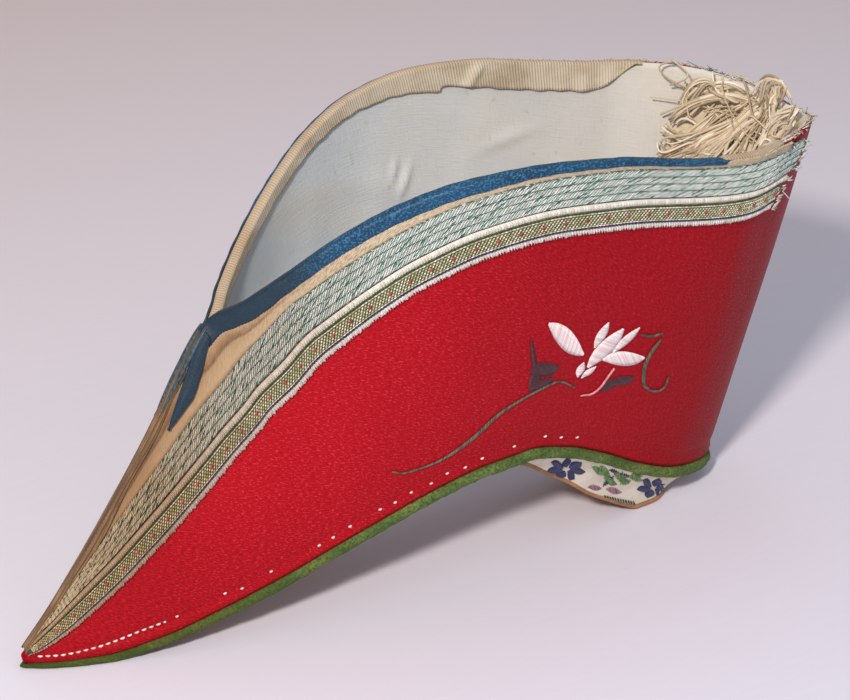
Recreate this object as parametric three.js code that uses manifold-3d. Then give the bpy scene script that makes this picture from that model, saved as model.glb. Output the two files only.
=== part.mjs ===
// An embroidered lotus shoe: a small pointed silk shoe with a deep pointed collar, an arched
// leather sole and a low cloth-covered heel block. Millimetres, +X to the toe, +Y to the
// wearer's left, +Z up. The shoe is the same on both sides of the plane y = 0.
import * as THREE from "three";
import { mergeVertices } from "three/addons/utils/BufferGeometryUtils.js";
import Module from "manifold-3d";

const wasm = await Module();
wasm.setup();

// Driving sizes, in millimetres
const SOLE_LENGTH = 129;
const BALL_WIDTH = 29.2;
const COLLAR_WIDTH = 46;
const COLLAR_HEIGHT = 78;
const ARCH_RISE = 20.6;
const SIDE_BULGE = 3.2;
const WALL = 1.2;

const SOLE_THICKNESS = 1.1;
const INSOLE_THICKNESS = 0.9;
const WELT_DIAMETER = 2.2;
const WELT_OVERHANG = 0.6;
const WELT_LIFT = 0.1;
const BLOCK_INSET = 0.3;

const TRIM_THICKNESS = 0.5;
const TAPE_WIDTH = 7.2;
const WIDE_RIBBON = 5.2;
const NARROW_RIBBON = 5.6;
const BINDING_WIDTH = 2.4;
const BINDING_TURN_IN = 0.2;
const INSIDE_WALL = 0.8;
const TAIL_WIDTH = 2.7;
const TUFT_DEPTH = 17;
const TUFT_THICKNESS = 2.8;
const TUFT_EDGE = 0.5;
const TUFT_RISE = 2.6;
const LOCK_THICKNESS = 1.3;

// Clearance between pieces that meet
const GAP = 0.3;

// How far the room inside runs out past the upper's edges, above and below
const RUN_OUT_ABOVE = 8;
const RUN_OUT_BELOW = 5;

// How finely the curved forms are divided: faces up the sides, and sections along the shoe,
// which lie closer together round the back
const SIDE_STEPS = 7;
const FRONT_SECTIONS = 26;
const BACK_SECTIONS = 12;
const BACK_START = 0.85;
const HEEL_STEPS = 20;
const TAIL_STEPS = 8;
const TUFT_STEPS = 6;
const LOCK_STEPS = 4;
const CORD_SIDES = 8;
const LOCK_SIDES = 5;

// A short step along the shoe, for the direction of a line there
const STEP = 0.003;

// Rows of numbers with their column names
const table = (columns, rows) =>
  rows.map((row) => Object.fromEntries(columns.map((column, i) => [column, row[i]])));

// The upper: a row for each section, from the toe tip to the back seam. The sole columns are
// the section's lower end, the top columns its upper end on the front ridge or on the collar.
// along and topAlong are shares of SOLE_LENGTH, wide of half BALL_WIDTH, rise of ARCH_RISE,
// topWide of half COLLAR_WIDTH, topHigh of COLLAR_HEIGHT, bulge of SIDE_BULGE, cord of
// WELT_DIAMETER and of SOLE_THICKNESS.
const SECTIONS = table(
  ["at", "along", "wide", "rise", "topAlong", "topWide", "topHigh", "bulge", "cord"],
  [
    [0.00, 1.000, 0.000, 0.000, 1.001, 0.000, 0.034, 0.00, 0.30],
    [0.03, 0.967, 0.164, 0.000, 0.975, 0.000, 0.083, 0.11, 0.40],
    [0.08, 0.913, 0.336, 0.000, 0.933, 0.000, 0.174, 0.28, 0.55],
    [0.15, 0.841, 0.507, 0.075, 0.879, 0.000, 0.300, 0.50, 0.75],
    [0.22, 0.764, 0.658, 0.234, 0.825, 0.000, 0.436, 0.72, 0.90],
    [0.29, 0.686, 0.781, 0.417, 0.774, 0.000, 0.577, 0.88, 1.00],
    [0.34, 0.624, 0.870, 0.592, 0.738, 0.000, 0.668, 1.00, 1.00],
    [0.39, 0.570, 0.938, 0.733, 0.702, 0.187, 0.724, 0.94, 1.00],
    [0.44, 0.523, 0.979, 0.845, 0.662, 0.351, 0.787, 0.81, 1.00],
    [0.50, 0.469, 1.000, 0.942, 0.605, 0.529, 0.867, 0.69, 1.00],
    [0.56, 0.415, 0.993, 0.995, 0.541, 0.703, 0.932, 0.56, 1.00],
    [0.62, 0.357, 0.952, 1.000, 0.469, 0.851, 0.972, 0.47, 1.00],
    [0.68, 0.295, 0.884, 0.893, 0.384, 0.960, 0.986, 0.41, 1.00],
    [0.74, 0.236, 0.822, 0.709, 0.287, 1.008, 0.973, 0.38, 1.00],
    [0.80, 0.174, 0.774, 0.476, 0.186, 1.025, 0.938, 0.34, 1.00],
    [0.86, 0.118, 0.705, 0.306, 0.086, 0.985, 0.910, 0.31, 1.00],
    [0.91, 0.073, 0.582, 0.214, 0.008, 0.805, 0.902, 0.28, 1.00],
    [0.95, 0.038, 0.411, 0.155, -0.054, 0.550, 0.884, 0.22, 1.00],
    [0.98, 0.017, 0.205, 0.126, -0.093, 0.265, 0.860, 0.12, 1.00],
    [1.00, 0.010, 0.000, 0.117, -0.105, 0.000, 0.846, 0.00, 1.00],
  ],
);

// The tread under the heel, where the sole leaves the arch and runs beneath the block: at is
// the section, along a share of SOLE_LENGTH, wide of half BALL_WIDTH, high of ARCH_RISE.
const HEEL_TREAD = table(
  ["at", "along", "wide", "high"],
  [
    [0.590, 0.380, 0.790, 0.960],
    [0.630, 0.342, 0.700, 0.830],
    [0.670, 0.306, 0.640, 0.655],
    [0.705, 0.270, 0.605, 0.490],
    [0.740, 0.236, 0.580, 0.305],
    [0.775, 0.204, 0.565, 0.175],
    [0.800, 0.180, 0.555, 0.080],
    [0.830, 0.152, 0.540, 0.000],
    [0.860, 0.126, 0.520, 0.000],
    [0.910, 0.104, 0.430, 0.000],
    [0.955, 0.086, 0.280, 0.070],
    [1.000, 0.076, 0.000, 0.130],
  ],
);

// The trim: start is where the wide ribbon begins below the top line, a share of TAPE_WIDTH,
// full the share of the ribbons' widths that the section has room for, binding a share of
// BINDING_WIDTH.
const TRIM = table(
  ["at", "start", "full", "binding"],
  [
    [0.00, 0.02, 0.05, 1.00],
    [0.03, 0.05, 0.26, 1.00],
    [0.08, 0.12, 0.50, 1.00],
    [0.15, 0.26, 0.71, 1.00],
    [0.22, 0.49, 0.81, 1.00],
    [0.29, 0.78, 0.88, 1.00],
    [0.34, 0.98, 0.88, 1.00],
    [0.39, 0.70, 0.92, 0.78],
    [0.44, 0.51, 0.93, 0.60],
    [0.50, 0.52, 0.93, 0.56],
    [0.56, 0.47, 0.96, 0.55],
    [0.62, 0.37, 1.00, 0.50],
    [0.68, 0.27, 1.02, 0.32],
    [0.74, 0.20, 1.02, 0.22],
    [0.80, 0.14, 0.98, 0.15],
    [1.00, 0.14, 0.96, 0.12],
  ],
);

// Sections where pieces begin and end
const CAVITY_FRONT = 0.085;
const INSOLE_FRONT = 0.15;
const SOLE_FRONT = 0.03;
const ARCH_END = 0.56;
const BLOCK_FRONT = 0.63;
const RIBBON_ENDS = [0.04, 0.945];
const TAPE_ENDS = [0.16, 0.7];
const BINDING_ENDS = [0.33, 0.835];
const TAPE_CLEARS_BINDING = [0.285, 0.33];
const TAIL_ENDS = [0.256, 0.345];
const TUFT_FRONT = 0.865;

// Smooth curve through the rows of a table, with no overshoot between them
function follow(table, column, at) {
  const last = table.length - 1;
  const slope = (i) => (table[i + 1][column] - table[i][column]) / (table[i + 1].at - table[i].at);
  const tangent = (i) => {
    if (i === 0) return slope(0);
    if (i === last) return slope(last - 1);
    const before = slope(i - 1);
    const after = slope(i);
    return before * after > 0 ? (2 * before * after) / (before + after) : 0;
  };
  let i = 0;
  while (i < last - 1 && at > table[i + 1].at) i += 1;
  const span = table[i + 1].at - table[i].at;
  const t = (at - table[i].at) / span;
  const h = t * t * (3 - 2 * t);
  const start = t * (1 - t) * (1 - t) * span * tangent(i);
  const end = t * t * (1 - t) * span * tangent(i + 1);
  return table[i][column] * (1 - h) + table[i + 1][column] * h + start - end;
}

const range = (start, end, count) =>
  Array.from({ length: count + 1 }, (_, i) => start + ((end - start) * i) / count);

// The sections that every long piece is divided at, so that neighbours keep their clearance
const STATIONS = [
  ...range(0, BACK_START, FRONT_SECTIONS),
  ...range(BACK_START, 1, BACK_SECTIONS).slice(1),
];
const stations = (start, end) =>
  [start, ...STATIONS.filter((at) => at > start + STEP && at < end - STEP), end];

// Sizes of one section
const cordRadius = (at) => (follow(SECTIONS, "cord", at) * WELT_DIAMETER) / 2;
const soleUnder = (at) => follow(SECTIONS, "rise", at) * ARCH_RISE;
const soleThick = (at) => follow(SECTIONS, "cord", at) * SOLE_THICKNESS;
const weltFoot = (at) => soleUnder(at) + WELT_LIFT;
const edgeHeight = (at) => weltFoot(at) + 2 * cordRadius(at) + GAP;

function soleEdge(at) {
  const x = follow(SECTIONS, "along", at) * SOLE_LENGTH;
  const y = (follow(SECTIONS, "wide", at) * BALL_WIDTH) / 2;
  return new THREE.Vector3(x, y, edgeHeight(at));
}

function topEdge(at) {
  const x = follow(SECTIONS, "topAlong", at) * SOLE_LENGTH;
  const y = (follow(SECTIONS, "topWide", at) * COLLAR_WIDTH) / 2;
  return new THREE.Vector3(x, y, follow(SECTIONS, "topHigh", at) * COLLAR_HEIGHT);
}

// The upper's left face: a straight line from sole edge to top edge, bulged outward
function face(at, v) {
  const point = soleEdge(at).lerp(topEdge(at), v);
  point.y += follow(SECTIONS, "bulge", at) * SIDE_BULGE * 4 * v * (1 - v);
  return point;
}

// The face moved out along its own normal, so that every layer over it follows it
function layer(at, v, offset) {
  const alongFace = face(Math.min(1, at + STEP), v).sub(face(Math.max(0, at - STEP), v));
  const upFace = face(at, v + STEP).sub(face(at, v - STEP));
  const normal = alongFace.cross(upFace).normalize();
  if (at === 0 || at === 1) normal.setY(0).normalize();
  return face(at, v).addScaledVector(normal, offset);
}

const sectionLength = (at) => soleEdge(at).distanceTo(topEdge(at));

// The place on a section that is a given distance below its top edge
const below = (at, distance) => 1 - distance / sectionLength(at);

// The sole's outline in plan, moved inward
function insetEdge(at, inset) {
  const along = soleEdge(Math.min(1, at + STEP)).sub(soleEdge(Math.max(0, at - STEP)));
  const out = new THREE.Vector2(along.y, -along.x).normalize();
  if (at === 0) out.set(1, 0);
  if (at === 1) out.set(-1, 0);
  const point = soleEdge(at);
  return new THREE.Vector2(point.x - out.x * inset, Math.max(0, point.y - out.y * inset));
}

// A body from triangles given as triples of points; triangles with no area are dropped
function bodyOf(triangles) {
  const geometry = new THREE.BufferGeometry();
  const positions = triangles.flatMap((triangle) => triangle.flatMap((point) => point.toArray()));
  geometry.setAttribute("position", new THREE.Float32BufferAttribute(positions, 3));
  const merged = mergeVertices(geometry, 1e-4);
  const index = merged.index.array;
  const kept = [];
  for (let i = 0; i < index.length; i += 3) {
    const [a, b, c] = [index[i], index[i + 1], index[i + 2]];
    if (a !== b && b !== c && a !== c) kept.push(a, b, c);
  }
  merged.setIndex(kept);
  return merged;
}

const quad = (a, b, c, d) => [[a, b, c], [a, c, d]];
const mirrored = (point) => new THREE.Vector3(point.x, -point.y, point.z);
const mirrorTriangles = (triangles) =>
  triangles.map(([a, b, c]) => [mirrored(a), mirrored(c), mirrored(b)]);

// A body on both sides of y = 0 from left half sections whose first and last points lie on
// y = 0. Each section runs from the underside, out along the left and in again over the top.
function halfSectionBody(sections) {
  const left = [];
  for (let i = 0; i < sections.length - 1; i += 1) {
    for (let j = 0; j < sections[i].length - 1; j += 1) {
      const [near, far] = [sections[i], sections[i + 1]];
      left.push(...quad(near[j], far[j], far[j + 1], near[j + 1]));
    }
  }
  const ends = [];
  const cap = (section, flip) => {
    for (let j = 0; j < section.length - 1; j += 1) {
      const corners = [section[j], section[j + 1], mirrored(section[j + 1]), mirrored(section[j])];
      ends.push(...quad(...(flip ? corners.reverse() : corners)));
    }
  };
  cap(sections[0], false);
  cap(sections[sections.length - 1], true);
  return bodyOf([...left, ...mirrorTriangles(left), ...ends]);
}

// A strip from closed ring sections, with a fan over each end that is asked for
function ringTriangles(rings, capStart, capEnd) {
  const triangles = [];
  const count = rings[0].length;
  for (let i = 0; i < rings.length - 1; i += 1) {
    for (let j = 0; j < count; j += 1) {
      const k = (j + 1) % count;
      triangles.push(...quad(rings[i][j], rings[i + 1][j], rings[i + 1][k], rings[i][k]));
    }
  }
  const first = rings[0];
  const last = rings[rings.length - 1];
  for (let j = 1; j < count - 1; j += 1) {
    if (capStart) triangles.push([first[0], first[j], first[j + 1]]);
    if (capEnd) triangles.push([last[0], last[j + 1], last[j]]);
  }
  return triangles;
}

// Solids for cutting and joining, and back again
function solidOf(geometry) {
  const mesh = new wasm.Mesh({
    numProp: 3,
    vertProperties: new Float32Array(geometry.attributes.position.array),
    triVerts: new Uint32Array(geometry.index.array),
  });
  return new wasm.Manifold(mesh);
}

function geometryOf(solid) {
  const mesh = solid.getMesh();
  const geometry = new THREE.BufferGeometry();
  geometry.setAttribute("position", new THREE.BufferAttribute(mesh.vertProperties, 3));
  geometry.setIndex(new THREE.BufferAttribute(mesh.triVerts, 1));
  return geometry;
}

const onCentre = (point) => new THREE.Vector3(point.x, 0, point.z);

// The whole outer form of the upper, grown by an offset, from one height of each section up
function outerForm(offset, from = () => 0, ends = [0, 1]) {
  const sections = stations(...ends).map((at) => {
    const top = 1 + offset / sectionLength(at);
    const points = range(from(at), top, SIDE_STEPS).map((v) => layer(at, v, offset));
    points.forEach((point) => point.setY(Math.max(0, point.y)));
    return [onCentre(points[0]), ...points, onCentre(points[points.length - 1])];
  });
  return solidOf(halfSectionBody(sections));
}

// The room inside the upper, past the collar above and past the sole edge below. A section
// ends where its two sides meet, under the ridge.
function innerForm(offset, rise = RUN_OUT_ABOVE) {
  const sections = stations(CAVITY_FRONT, 1).map((at) => {
    const place = (v) => layer(at, v, -offset);
    let high = below(at, -rise);
    if (place(high).y < 0) {
      let low = 0.3;
      while (high - low > 1e-6) {
        const middle = (low + high) / 2;
        if (place(middle).y > 0) low = middle;
        else high = middle;
      }
    }
    const points = range(-RUN_OUT_BELOW / sectionLength(at), high, SIDE_STEPS).map(place);
    points.forEach((point) => point.setY(Math.max(0, point.y)));
    return [onCentre(points[0]), ...points, onCentre(points[points.length - 1])];
  });
  return solidOf(halfSectionBody(sections));
}

const shell = (grow) => outerForm(grow).subtract(innerForm(WALL + grow));

const group = new THREE.Group();

function addPiece(name, geometry, colour, roughness) {
  const material = new THREE.MeshStandardMaterial({ color: colour, roughness, metalness: 0 });
  const mesh = new THREE.Mesh(geometry, material);
  mesh.name = name;
  group.add(mesh);
}

// A left piece and its mirror image on the right
function addPair(name, triangles, colour, roughness) {
  addPiece(`${name}_left`, bodyOf(triangles), colour, roughness);
  addPiece(`${name}_right`, bodyOf(mirrorTriangles(triangles)), colour, roughness);
}

// Upper
addPiece("upper", geometryOf(shell(0)), 0xaf1623, 0.5);

// Sole: flat under the toe, up through the arch, then down and flat under the heel block.
// Its underside in side view follows the upper's sections to the arch and then its own table.
const insideWelt = (at) => insetEdge(at, 2 * cordRadius(at) - WELT_OVERHANG + GAP);
const archUnder = (at) => new THREE.Vector2(insideWelt(at).x, soleUnder(at));
const heelUnder = (at) => new THREE.Vector2(
  follow(HEEL_TREAD, "along", at) * SOLE_LENGTH,
  follow(HEEL_TREAD, "high", at) * ARCH_RISE,
);
const heelHalf = (at) => (follow(HEEL_TREAD, "wide", at) * BALL_WIDTH) / 2;

// A place on one of those lines, raised square to it
function raised(line, at, distance) {
  const forward = line(at - STEP).sub(line(Math.min(1, at + STEP))).normalize();
  return line(at).add(new THREE.Vector2(-forward.y, forward.x).multiplyScalar(distance));
}

function soleSection(line, at, half, thickness) {
  const under = line(at);
  const over = raised(line, at, thickness);
  return [
    new THREE.Vector3(under.x, 0, under.y),
    new THREE.Vector3(under.x, half, under.y),
    new THREE.Vector3(over.x, half, over.y),
    new THREE.Vector3(over.x, 0, over.y),
  ];
}

addPiece("sole", halfSectionBody([
  ...stations(SOLE_FRONT, ARCH_END).map((at) =>
    soleSection(archUnder, at, insideWelt(at).y, soleThick(at))),
  ...range(HEEL_TREAD[0].at, 1, HEEL_STEPS).map((at) =>
    soleSection(heelUnder, at, heelHalf(at), SOLE_THICKNESS)),
]), 0xb98d5f, 0.7);

// Welt: a cord of cloth all round under the edge of the upper
const weltHalf = ringTriangles([0, ...stations(SOLE_FRONT, 1)].map((at) => {
  const radius = cordRadius(at);
  return Array.from({ length: CORD_SIDES }, (_, i) => {
    const angle = ((i + 0.5) * 2 * Math.PI) / CORD_SIDES;
    const edge = insetEdge(at, radius * (1 - Math.cos(angle)) - WELT_OVERHANG);
    return new THREE.Vector3(edge.x, edge.y, weltFoot(at) + radius * (1 + Math.sin(angle)));
  });
}), false, false);
addPiece("welt", bodyOf([...weltHalf, ...mirrorTriangles(weltHalf)]), 0x5a7a35, 0.9);

// Insole: lies inside the welt, just under the edge of the upper
const insoleTop = (at) => edgeHeight(at) - GAP;
const insoleUnder = (at) =>
  Math.max(soleUnder(at) + soleThick(at) + GAP, insoleTop(at) - INSOLE_THICKNESS);
addPiece("insole", halfSectionBody(stations(INSOLE_FRONT, 1).map((at) => {
  const edge = insideWelt(at);
  return [
    new THREE.Vector3(edge.x, 0, insoleUnder(at)),
    new THREE.Vector3(edge.x, edge.y, insoleUnder(at)),
    new THREE.Vector3(edge.x, edge.y, insoleTop(at)),
    new THREE.Vector3(edge.x, 0, insoleTop(at)),
  ];
})), 0xc9cdd0, 0.9);

// Heel block: fills the wedge between the welt and the sole, with a step up inside the welt
addPiece("heel_block", halfSectionBody(stations(BLOCK_FRONT, 1).map((at) => {
  const foot = raised(heelUnder, at, SOLE_THICKNESS + GAP);
  const rim = insetEdge(at, BLOCK_INSET);
  const step = insideWelt(at);
  const stepTop = insoleUnder(at) - GAP;
  const rimTop = weltFoot(at) - GAP;
  return [
    new THREE.Vector3(foot.x, 0, foot.y),
    new THREE.Vector3(foot.x, heelHalf(at), foot.y),
    new THREE.Vector3(rim.x, rim.y, rimTop),
    new THREE.Vector3(step.x, step.y, rimTop),
    new THREE.Vector3(step.x, step.y, stepTop),
    new THREE.Vector3(step.x, 0, stepTop),
  ];
})), 0xcdc3b4, 0.85);

// A flat strip laid over the upper's left face, between two distances below its top edge
function strip(places, from, to, lift) {
  const outer = lift + TRIM_THICKNESS;
  const rings = places.map((at) => {
    const [high, low] = [below(at, from(at)), below(at, to(at))];
    const middle = (high + low) / 2;
    return [
      layer(at, high, lift),
      layer(at, middle, lift),
      layer(at, low, lift),
      layer(at, low, outer),
      layer(at, middle, outer),
      layer(at, high, outer),
    ];
  });
  return ringTriangles(rings, true, true);
}

const trimAt = (column, at) => follow(TRIM, column, at);
const tapeEnd = (at) => trimAt("start", at) * TAPE_WIDTH;
const wideEnd = (at) => tapeEnd(at) + trimAt("full", at) * WIDE_RIBBON;
const narrowStart = (at) => wideEnd(at) + trimAt("full", at) * GAP;
const narrowEnd = (at) => narrowStart(at) + trimAt("full", at) * NARROW_RIBBON;
const bindingEnd = (at) => trimAt("binding", at) * BINDING_WIDTH;
const smooth = THREE.MathUtils.smoothstep;

// The tape runs from the ridge in front of the collar, and from under the binding along it
const tapeStart = (at) => GAP + bindingEnd(at) * smooth(at, ...TAPE_CLEARS_BINDING);
const tapeStop = (at) => tapeEnd(at) - GAP;

const ribbonPlaces = stations(...RIBBON_ENDS);
addPair("wide_ribbon", strip(ribbonPlaces, tapeEnd, wideEnd, GAP), 0xcfd8d0, 0.7);
addPair("narrow_ribbon", strip(ribbonPlaces, narrowStart, narrowEnd, GAP), 0x96965a, 0.7);
addPair("edge_tape", strip(stations(...TAPE_ENDS), tapeStart, tapeStop, GAP), 0xd7b98c, 0.8);

// Binding: lies outside along the collar's edge and just over it, cut between two grown
// copies of the upper
function bindingSolid() {
  const past = 2 * (GAP + TRIM_THICKNESS);
  const band = outerForm(past, (at) => below(at, bindingEnd(at)), BINDING_ENDS);
  const roomBelow = innerForm(WALL * INSIDE_WALL, -BINDING_TURN_IN);
  return shell(GAP + TRIM_THICKNESS).intersect(band).subtract(shell(GAP)).subtract(roomBelow);
}
addPiece("collar_binding", geometryOf(bindingSolid()), 0x2a5a80, 0.6);

// Binding tails: the loose pointed ends that lie on the front below the collar
const tailShare = (at) => (at - TAIL_ENDS[0]) / (TAIL_ENDS[1] - TAIL_ENDS[0]);
const tailMiddle = (at) => TAIL_WIDTH * (0.97 - 0.42 * smooth(tailShare(at), 0.45, 0.8));
const tailHalf = (at) => (TAIL_WIDTH / 2) * Math.min(1, 0.12 + 2 * tailShare(at));
const tailLift = 2 * GAP + TRIM_THICKNESS;
const tailStart = (at) => tailMiddle(at) - tailHalf(at);
const tailStop = (at) => tailMiddle(at) + tailHalf(at);
const tailPlaces = range(...TAIL_ENDS, TAIL_STEPS);
addPair("binding_tail", strip(tailPlaces, tailStart, tailStop, tailLift), 0x2d3b42, 0.7);

// Fibre tuft: a lumpy pad of loose fibres inside the back of the collar, with locks fused on.
// Each wave is a share of the thickness, with its turns along the shoe and down the pad.
const TUFT_WAVES = table(
  ["high", "along", "down"],
  [
    [0.18, 9.7, 1.4],
    [0.10, 18.0, -2.7],
  ],
);
function tuftThickness(at, drop) {
  const start = smooth(at, TUFT_FRONT - 0.02, TUFT_FRONT + 0.05);
  const lumps = 1 + TUFT_WAVES.reduce((sum, { high, along, down }) =>
    sum + high * Math.sin(2 * Math.PI * (along * at + (down * drop) / TUFT_DEPTH)), 0);
  const fade = Math.sin(Math.PI * (0.12 + (0.8 * drop) / TUFT_DEPTH));
  return TUFT_EDGE + TUFT_THICKNESS * start * lumps * fade;
}

// The pad starts under the binding and rises a little over the collar's edge behind it
const behindBinding = (at) => smooth(at, BINDING_ENDS[1] + 0.02, 0.95);
const tuftTop = (at) => BINDING_TURN_IN + 2 * GAP - TUFT_RISE * behindBinding(at);
const tuftDrops = (at) => range(tuftTop(at), TUFT_DEPTH, TUFT_STEPS);
const tuftRings = stations(TUFT_FRONT, 1).map((at) => {
  const seat = WALL + GAP;
  const wallSide = tuftDrops(at).map((drop) => layer(at, below(at, drop), -seat));
  const roomSide = tuftDrops(at).map((drop) =>
    layer(at, below(at, drop), -seat - tuftThickness(at, drop)));
  const ring = [...roomSide, ...wallSide.reverse()];
  ring.forEach((point) => point.setY(Math.max(0, point.y)));
  return ring;
});

// A lock of fibres: a thin curved cord over the pad, between two shares of its depth
function lockSolid(at, lean, from, to) {
  const radius = LOCK_THICKNESS / 2;
  const bed = WALL + GAP + radius;
  const places = range(0, 1, LOCK_STEPS).map((t) => {
    const drop = (from + (to - from) * t) * TUFT_DEPTH;
    const pad = tuftThickness(at, THREE.MathUtils.clamp(drop, 0.12 * TUFT_DEPTH, 0.88 * TUFT_DEPTH));
    const lift = bed + pad * (0.3 + 0.6 * Math.sin(Math.PI * t));
    return layer(Math.min(1, at + lean * t), below(at, drop), -lift);
  });
  const section = new THREE.Shape();
  for (let k = 0; k < LOCK_SIDES; k += 1) {
    const angle = (k * 2 * Math.PI) / LOCK_SIDES;
    const corner = [radius * Math.cos(angle), radius * Math.sin(angle)];
    if (k === 0) section.moveTo(...corner);
    else section.lineTo(...corner);
  }
  const curve = new THREE.CatmullRomCurve3(places);
  const cord = new THREE.ExtrudeGeometry(section, { steps: LOCK_STEPS, extrudePath: curve });
  cord.deleteAttribute("normal");
  cord.deleteAttribute("uv");
  return solidOf(mergeVertices(cord, 1e-4));
}

// Locks from front to back on the left: at, lean, from and to are where each one runs
const LOCKS = table(
  ["at", "lean", "from", "to"],
  [
    [0.878, 0.018, 0.12, 0.70],
    [0.890, -0.012, 0.24, 1.00],
    [0.905, 0.020, -0.04, 0.60],
    [0.925, -0.025, 0.18, 1.05],
    [0.940, 0.025, -0.12, 0.52],
    [0.955, -0.020, 0.30, 1.03],
    [0.970, 0.020, -0.15, 0.48],
  ],
);

function tuftSolid() {
  const half = ringTriangles(tuftRings, true, false);
  const pad = solidOf(bodyOf([...half, ...mirrorTriangles(half)]));
  const locks = LOCKS.map(({ at, lean, from, to }) => lockSolid(at, lean, from, to));
  return locks.reduce((sum, lock) => sum.add(lock).add(lock.mirror([0, 1, 0])), pad);
}
addPiece("fibre_tuft", geometryOf(tuftSolid()), 0xc8af82, 0.95);

// The origin goes on the ground under the middle of the shoe
const box = new THREE.Box3().setFromObject(group);
const middle = (box.min.x + box.max.x) / 2;
group.children.forEach(({ geometry }) => geometry.translate(-middle, 0, -box.min.z));

export default group;
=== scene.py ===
"""The look of an embroidered lotus shoe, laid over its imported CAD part.

Every piece is its own object and stands for a CAD node where it covers one. The shapes are
worked out in millimetres with x measured from behind the heel, and put into the part's frame
in metres when a mesh is made.
"""
import math

import bmesh
import bpy
import numpy as np
from bpy.props import FloatProperty, FloatVectorProperty, IntProperty, PointerProperty
from bpy.types import Operator, Panel, PropertyGroup
from mathutils import Matrix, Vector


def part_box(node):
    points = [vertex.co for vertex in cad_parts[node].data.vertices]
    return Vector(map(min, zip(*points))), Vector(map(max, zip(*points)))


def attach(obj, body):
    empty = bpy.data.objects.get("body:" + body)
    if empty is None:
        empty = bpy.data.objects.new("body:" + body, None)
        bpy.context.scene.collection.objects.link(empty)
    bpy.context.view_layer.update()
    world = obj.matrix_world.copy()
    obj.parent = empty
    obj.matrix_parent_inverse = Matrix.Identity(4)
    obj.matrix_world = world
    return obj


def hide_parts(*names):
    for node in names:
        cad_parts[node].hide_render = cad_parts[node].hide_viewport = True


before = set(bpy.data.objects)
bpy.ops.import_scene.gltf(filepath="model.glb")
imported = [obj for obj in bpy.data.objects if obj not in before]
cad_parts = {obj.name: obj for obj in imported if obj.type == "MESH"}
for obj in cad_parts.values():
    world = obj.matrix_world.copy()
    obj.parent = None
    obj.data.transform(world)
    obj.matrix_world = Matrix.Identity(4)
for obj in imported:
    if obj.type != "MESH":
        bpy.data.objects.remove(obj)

bl_info = {
    "name": "Embroidered lotus shoe",
    "version": (1, 0, 0),
    "blender": (4, 5, 0),
    "location": "View3D > Sidebar > Shoe",
    "description": "Makes the cloth, trims, embroidery and sole of a small embroidered shoe",
    "category": "Object",
}

# The upper's driving sizes in millimetres, as in the part
SOLE_LENGTH = 129.0
BALL_WIDTH = 29.2
COLLAR_WIDTH = 46.0
COLLAR_HEIGHT = 78.0
ARCH_RISE = 20.6
SIDE_BULGE = 3.2
WALL = 1.2
SOLE_THICKNESS = 1.1
WELT_DIAMETER = 2.2
WELT_OVERHANG = 0.6
WELT_LIFT = 0.1
TAPE_WIDTH = 7.2
WIDE_RIBBON = 5.2
NARROW_RIBBON = 5.6
BINDING_WIDTH = 2.4
GAP = 0.3


def table(columns, rows):
    """The rows of numbers as one array for each named column."""
    return dict(zip(columns.split(), np.array(rows, float).T))


# A row for each section of the upper, from the toe tip to the back seam, as in the part
SECTIONS = table(
    "at along wide rise top_along top_wide top_high bulge cord",
    [
        [0.00, 1.000, 0.000, 0.000, 1.001, 0.000, 0.034, 0.00, 0.30],
        [0.03, 0.967, 0.164, 0.000, 0.975, 0.000, 0.083, 0.11, 0.40],
        [0.08, 0.913, 0.336, 0.000, 0.933, 0.000, 0.174, 0.28, 0.55],
        [0.15, 0.841, 0.507, 0.075, 0.879, 0.000, 0.300, 0.50, 0.75],
        [0.22, 0.764, 0.658, 0.234, 0.825, 0.000, 0.436, 0.72, 0.90],
        [0.29, 0.686, 0.781, 0.417, 0.774, 0.000, 0.577, 0.88, 1.00],
        [0.34, 0.624, 0.870, 0.592, 0.738, 0.000, 0.668, 1.00, 1.00],
        [0.39, 0.570, 0.938, 0.733, 0.702, 0.187, 0.724, 0.94, 1.00],
        [0.44, 0.523, 0.979, 0.845, 0.662, 0.351, 0.787, 0.81, 1.00],
        [0.50, 0.469, 1.000, 0.942, 0.605, 0.529, 0.867, 0.69, 1.00],
        [0.56, 0.415, 0.993, 0.995, 0.541, 0.703, 0.932, 0.56, 1.00],
        [0.62, 0.357, 0.952, 1.000, 0.469, 0.851, 0.972, 0.47, 1.00],
        [0.68, 0.295, 0.884, 0.893, 0.384, 0.960, 0.986, 0.41, 1.00],
        [0.74, 0.236, 0.822, 0.709, 0.287, 1.008, 0.973, 0.38, 1.00],
        [0.80, 0.174, 0.774, 0.476, 0.186, 1.025, 0.938, 0.34, 1.00],
        [0.86, 0.118, 0.705, 0.306, 0.086, 0.985, 0.910, 0.31, 1.00],
        [0.91, 0.073, 0.582, 0.214, 0.008, 0.805, 0.902, 0.28, 1.00],
        [0.95, 0.038, 0.411, 0.155, -0.054, 0.550, 0.884, 0.22, 1.00],
        [0.98, 0.017, 0.205, 0.126, -0.093, 0.265, 0.860, 0.12, 1.00],
        [1.00, 0.010, 0.000, 0.117, -0.105, 0.000, 0.846, 0.00, 1.00],
    ],
)

# The sole's line under the heel block
HEEL_TREAD = table(
    "at along wide high",
    [
        [0.590, 0.380, 0.790, 0.960],
        [0.630, 0.342, 0.700, 0.830],
        [0.670, 0.306, 0.640, 0.655],
        [0.705, 0.270, 0.605, 0.490],
        [0.740, 0.236, 0.580, 0.305],
        [0.775, 0.204, 0.565, 0.175],
        [0.800, 0.180, 0.555, 0.080],
        [0.830, 0.152, 0.540, 0.000],
        [0.860, 0.126, 0.520, 0.000],
        [0.910, 0.104, 0.430, 0.000],
        [0.955, 0.086, 0.280, 0.070],
        [1.000, 0.076, 0.000, 0.130],
    ],
)

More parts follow.
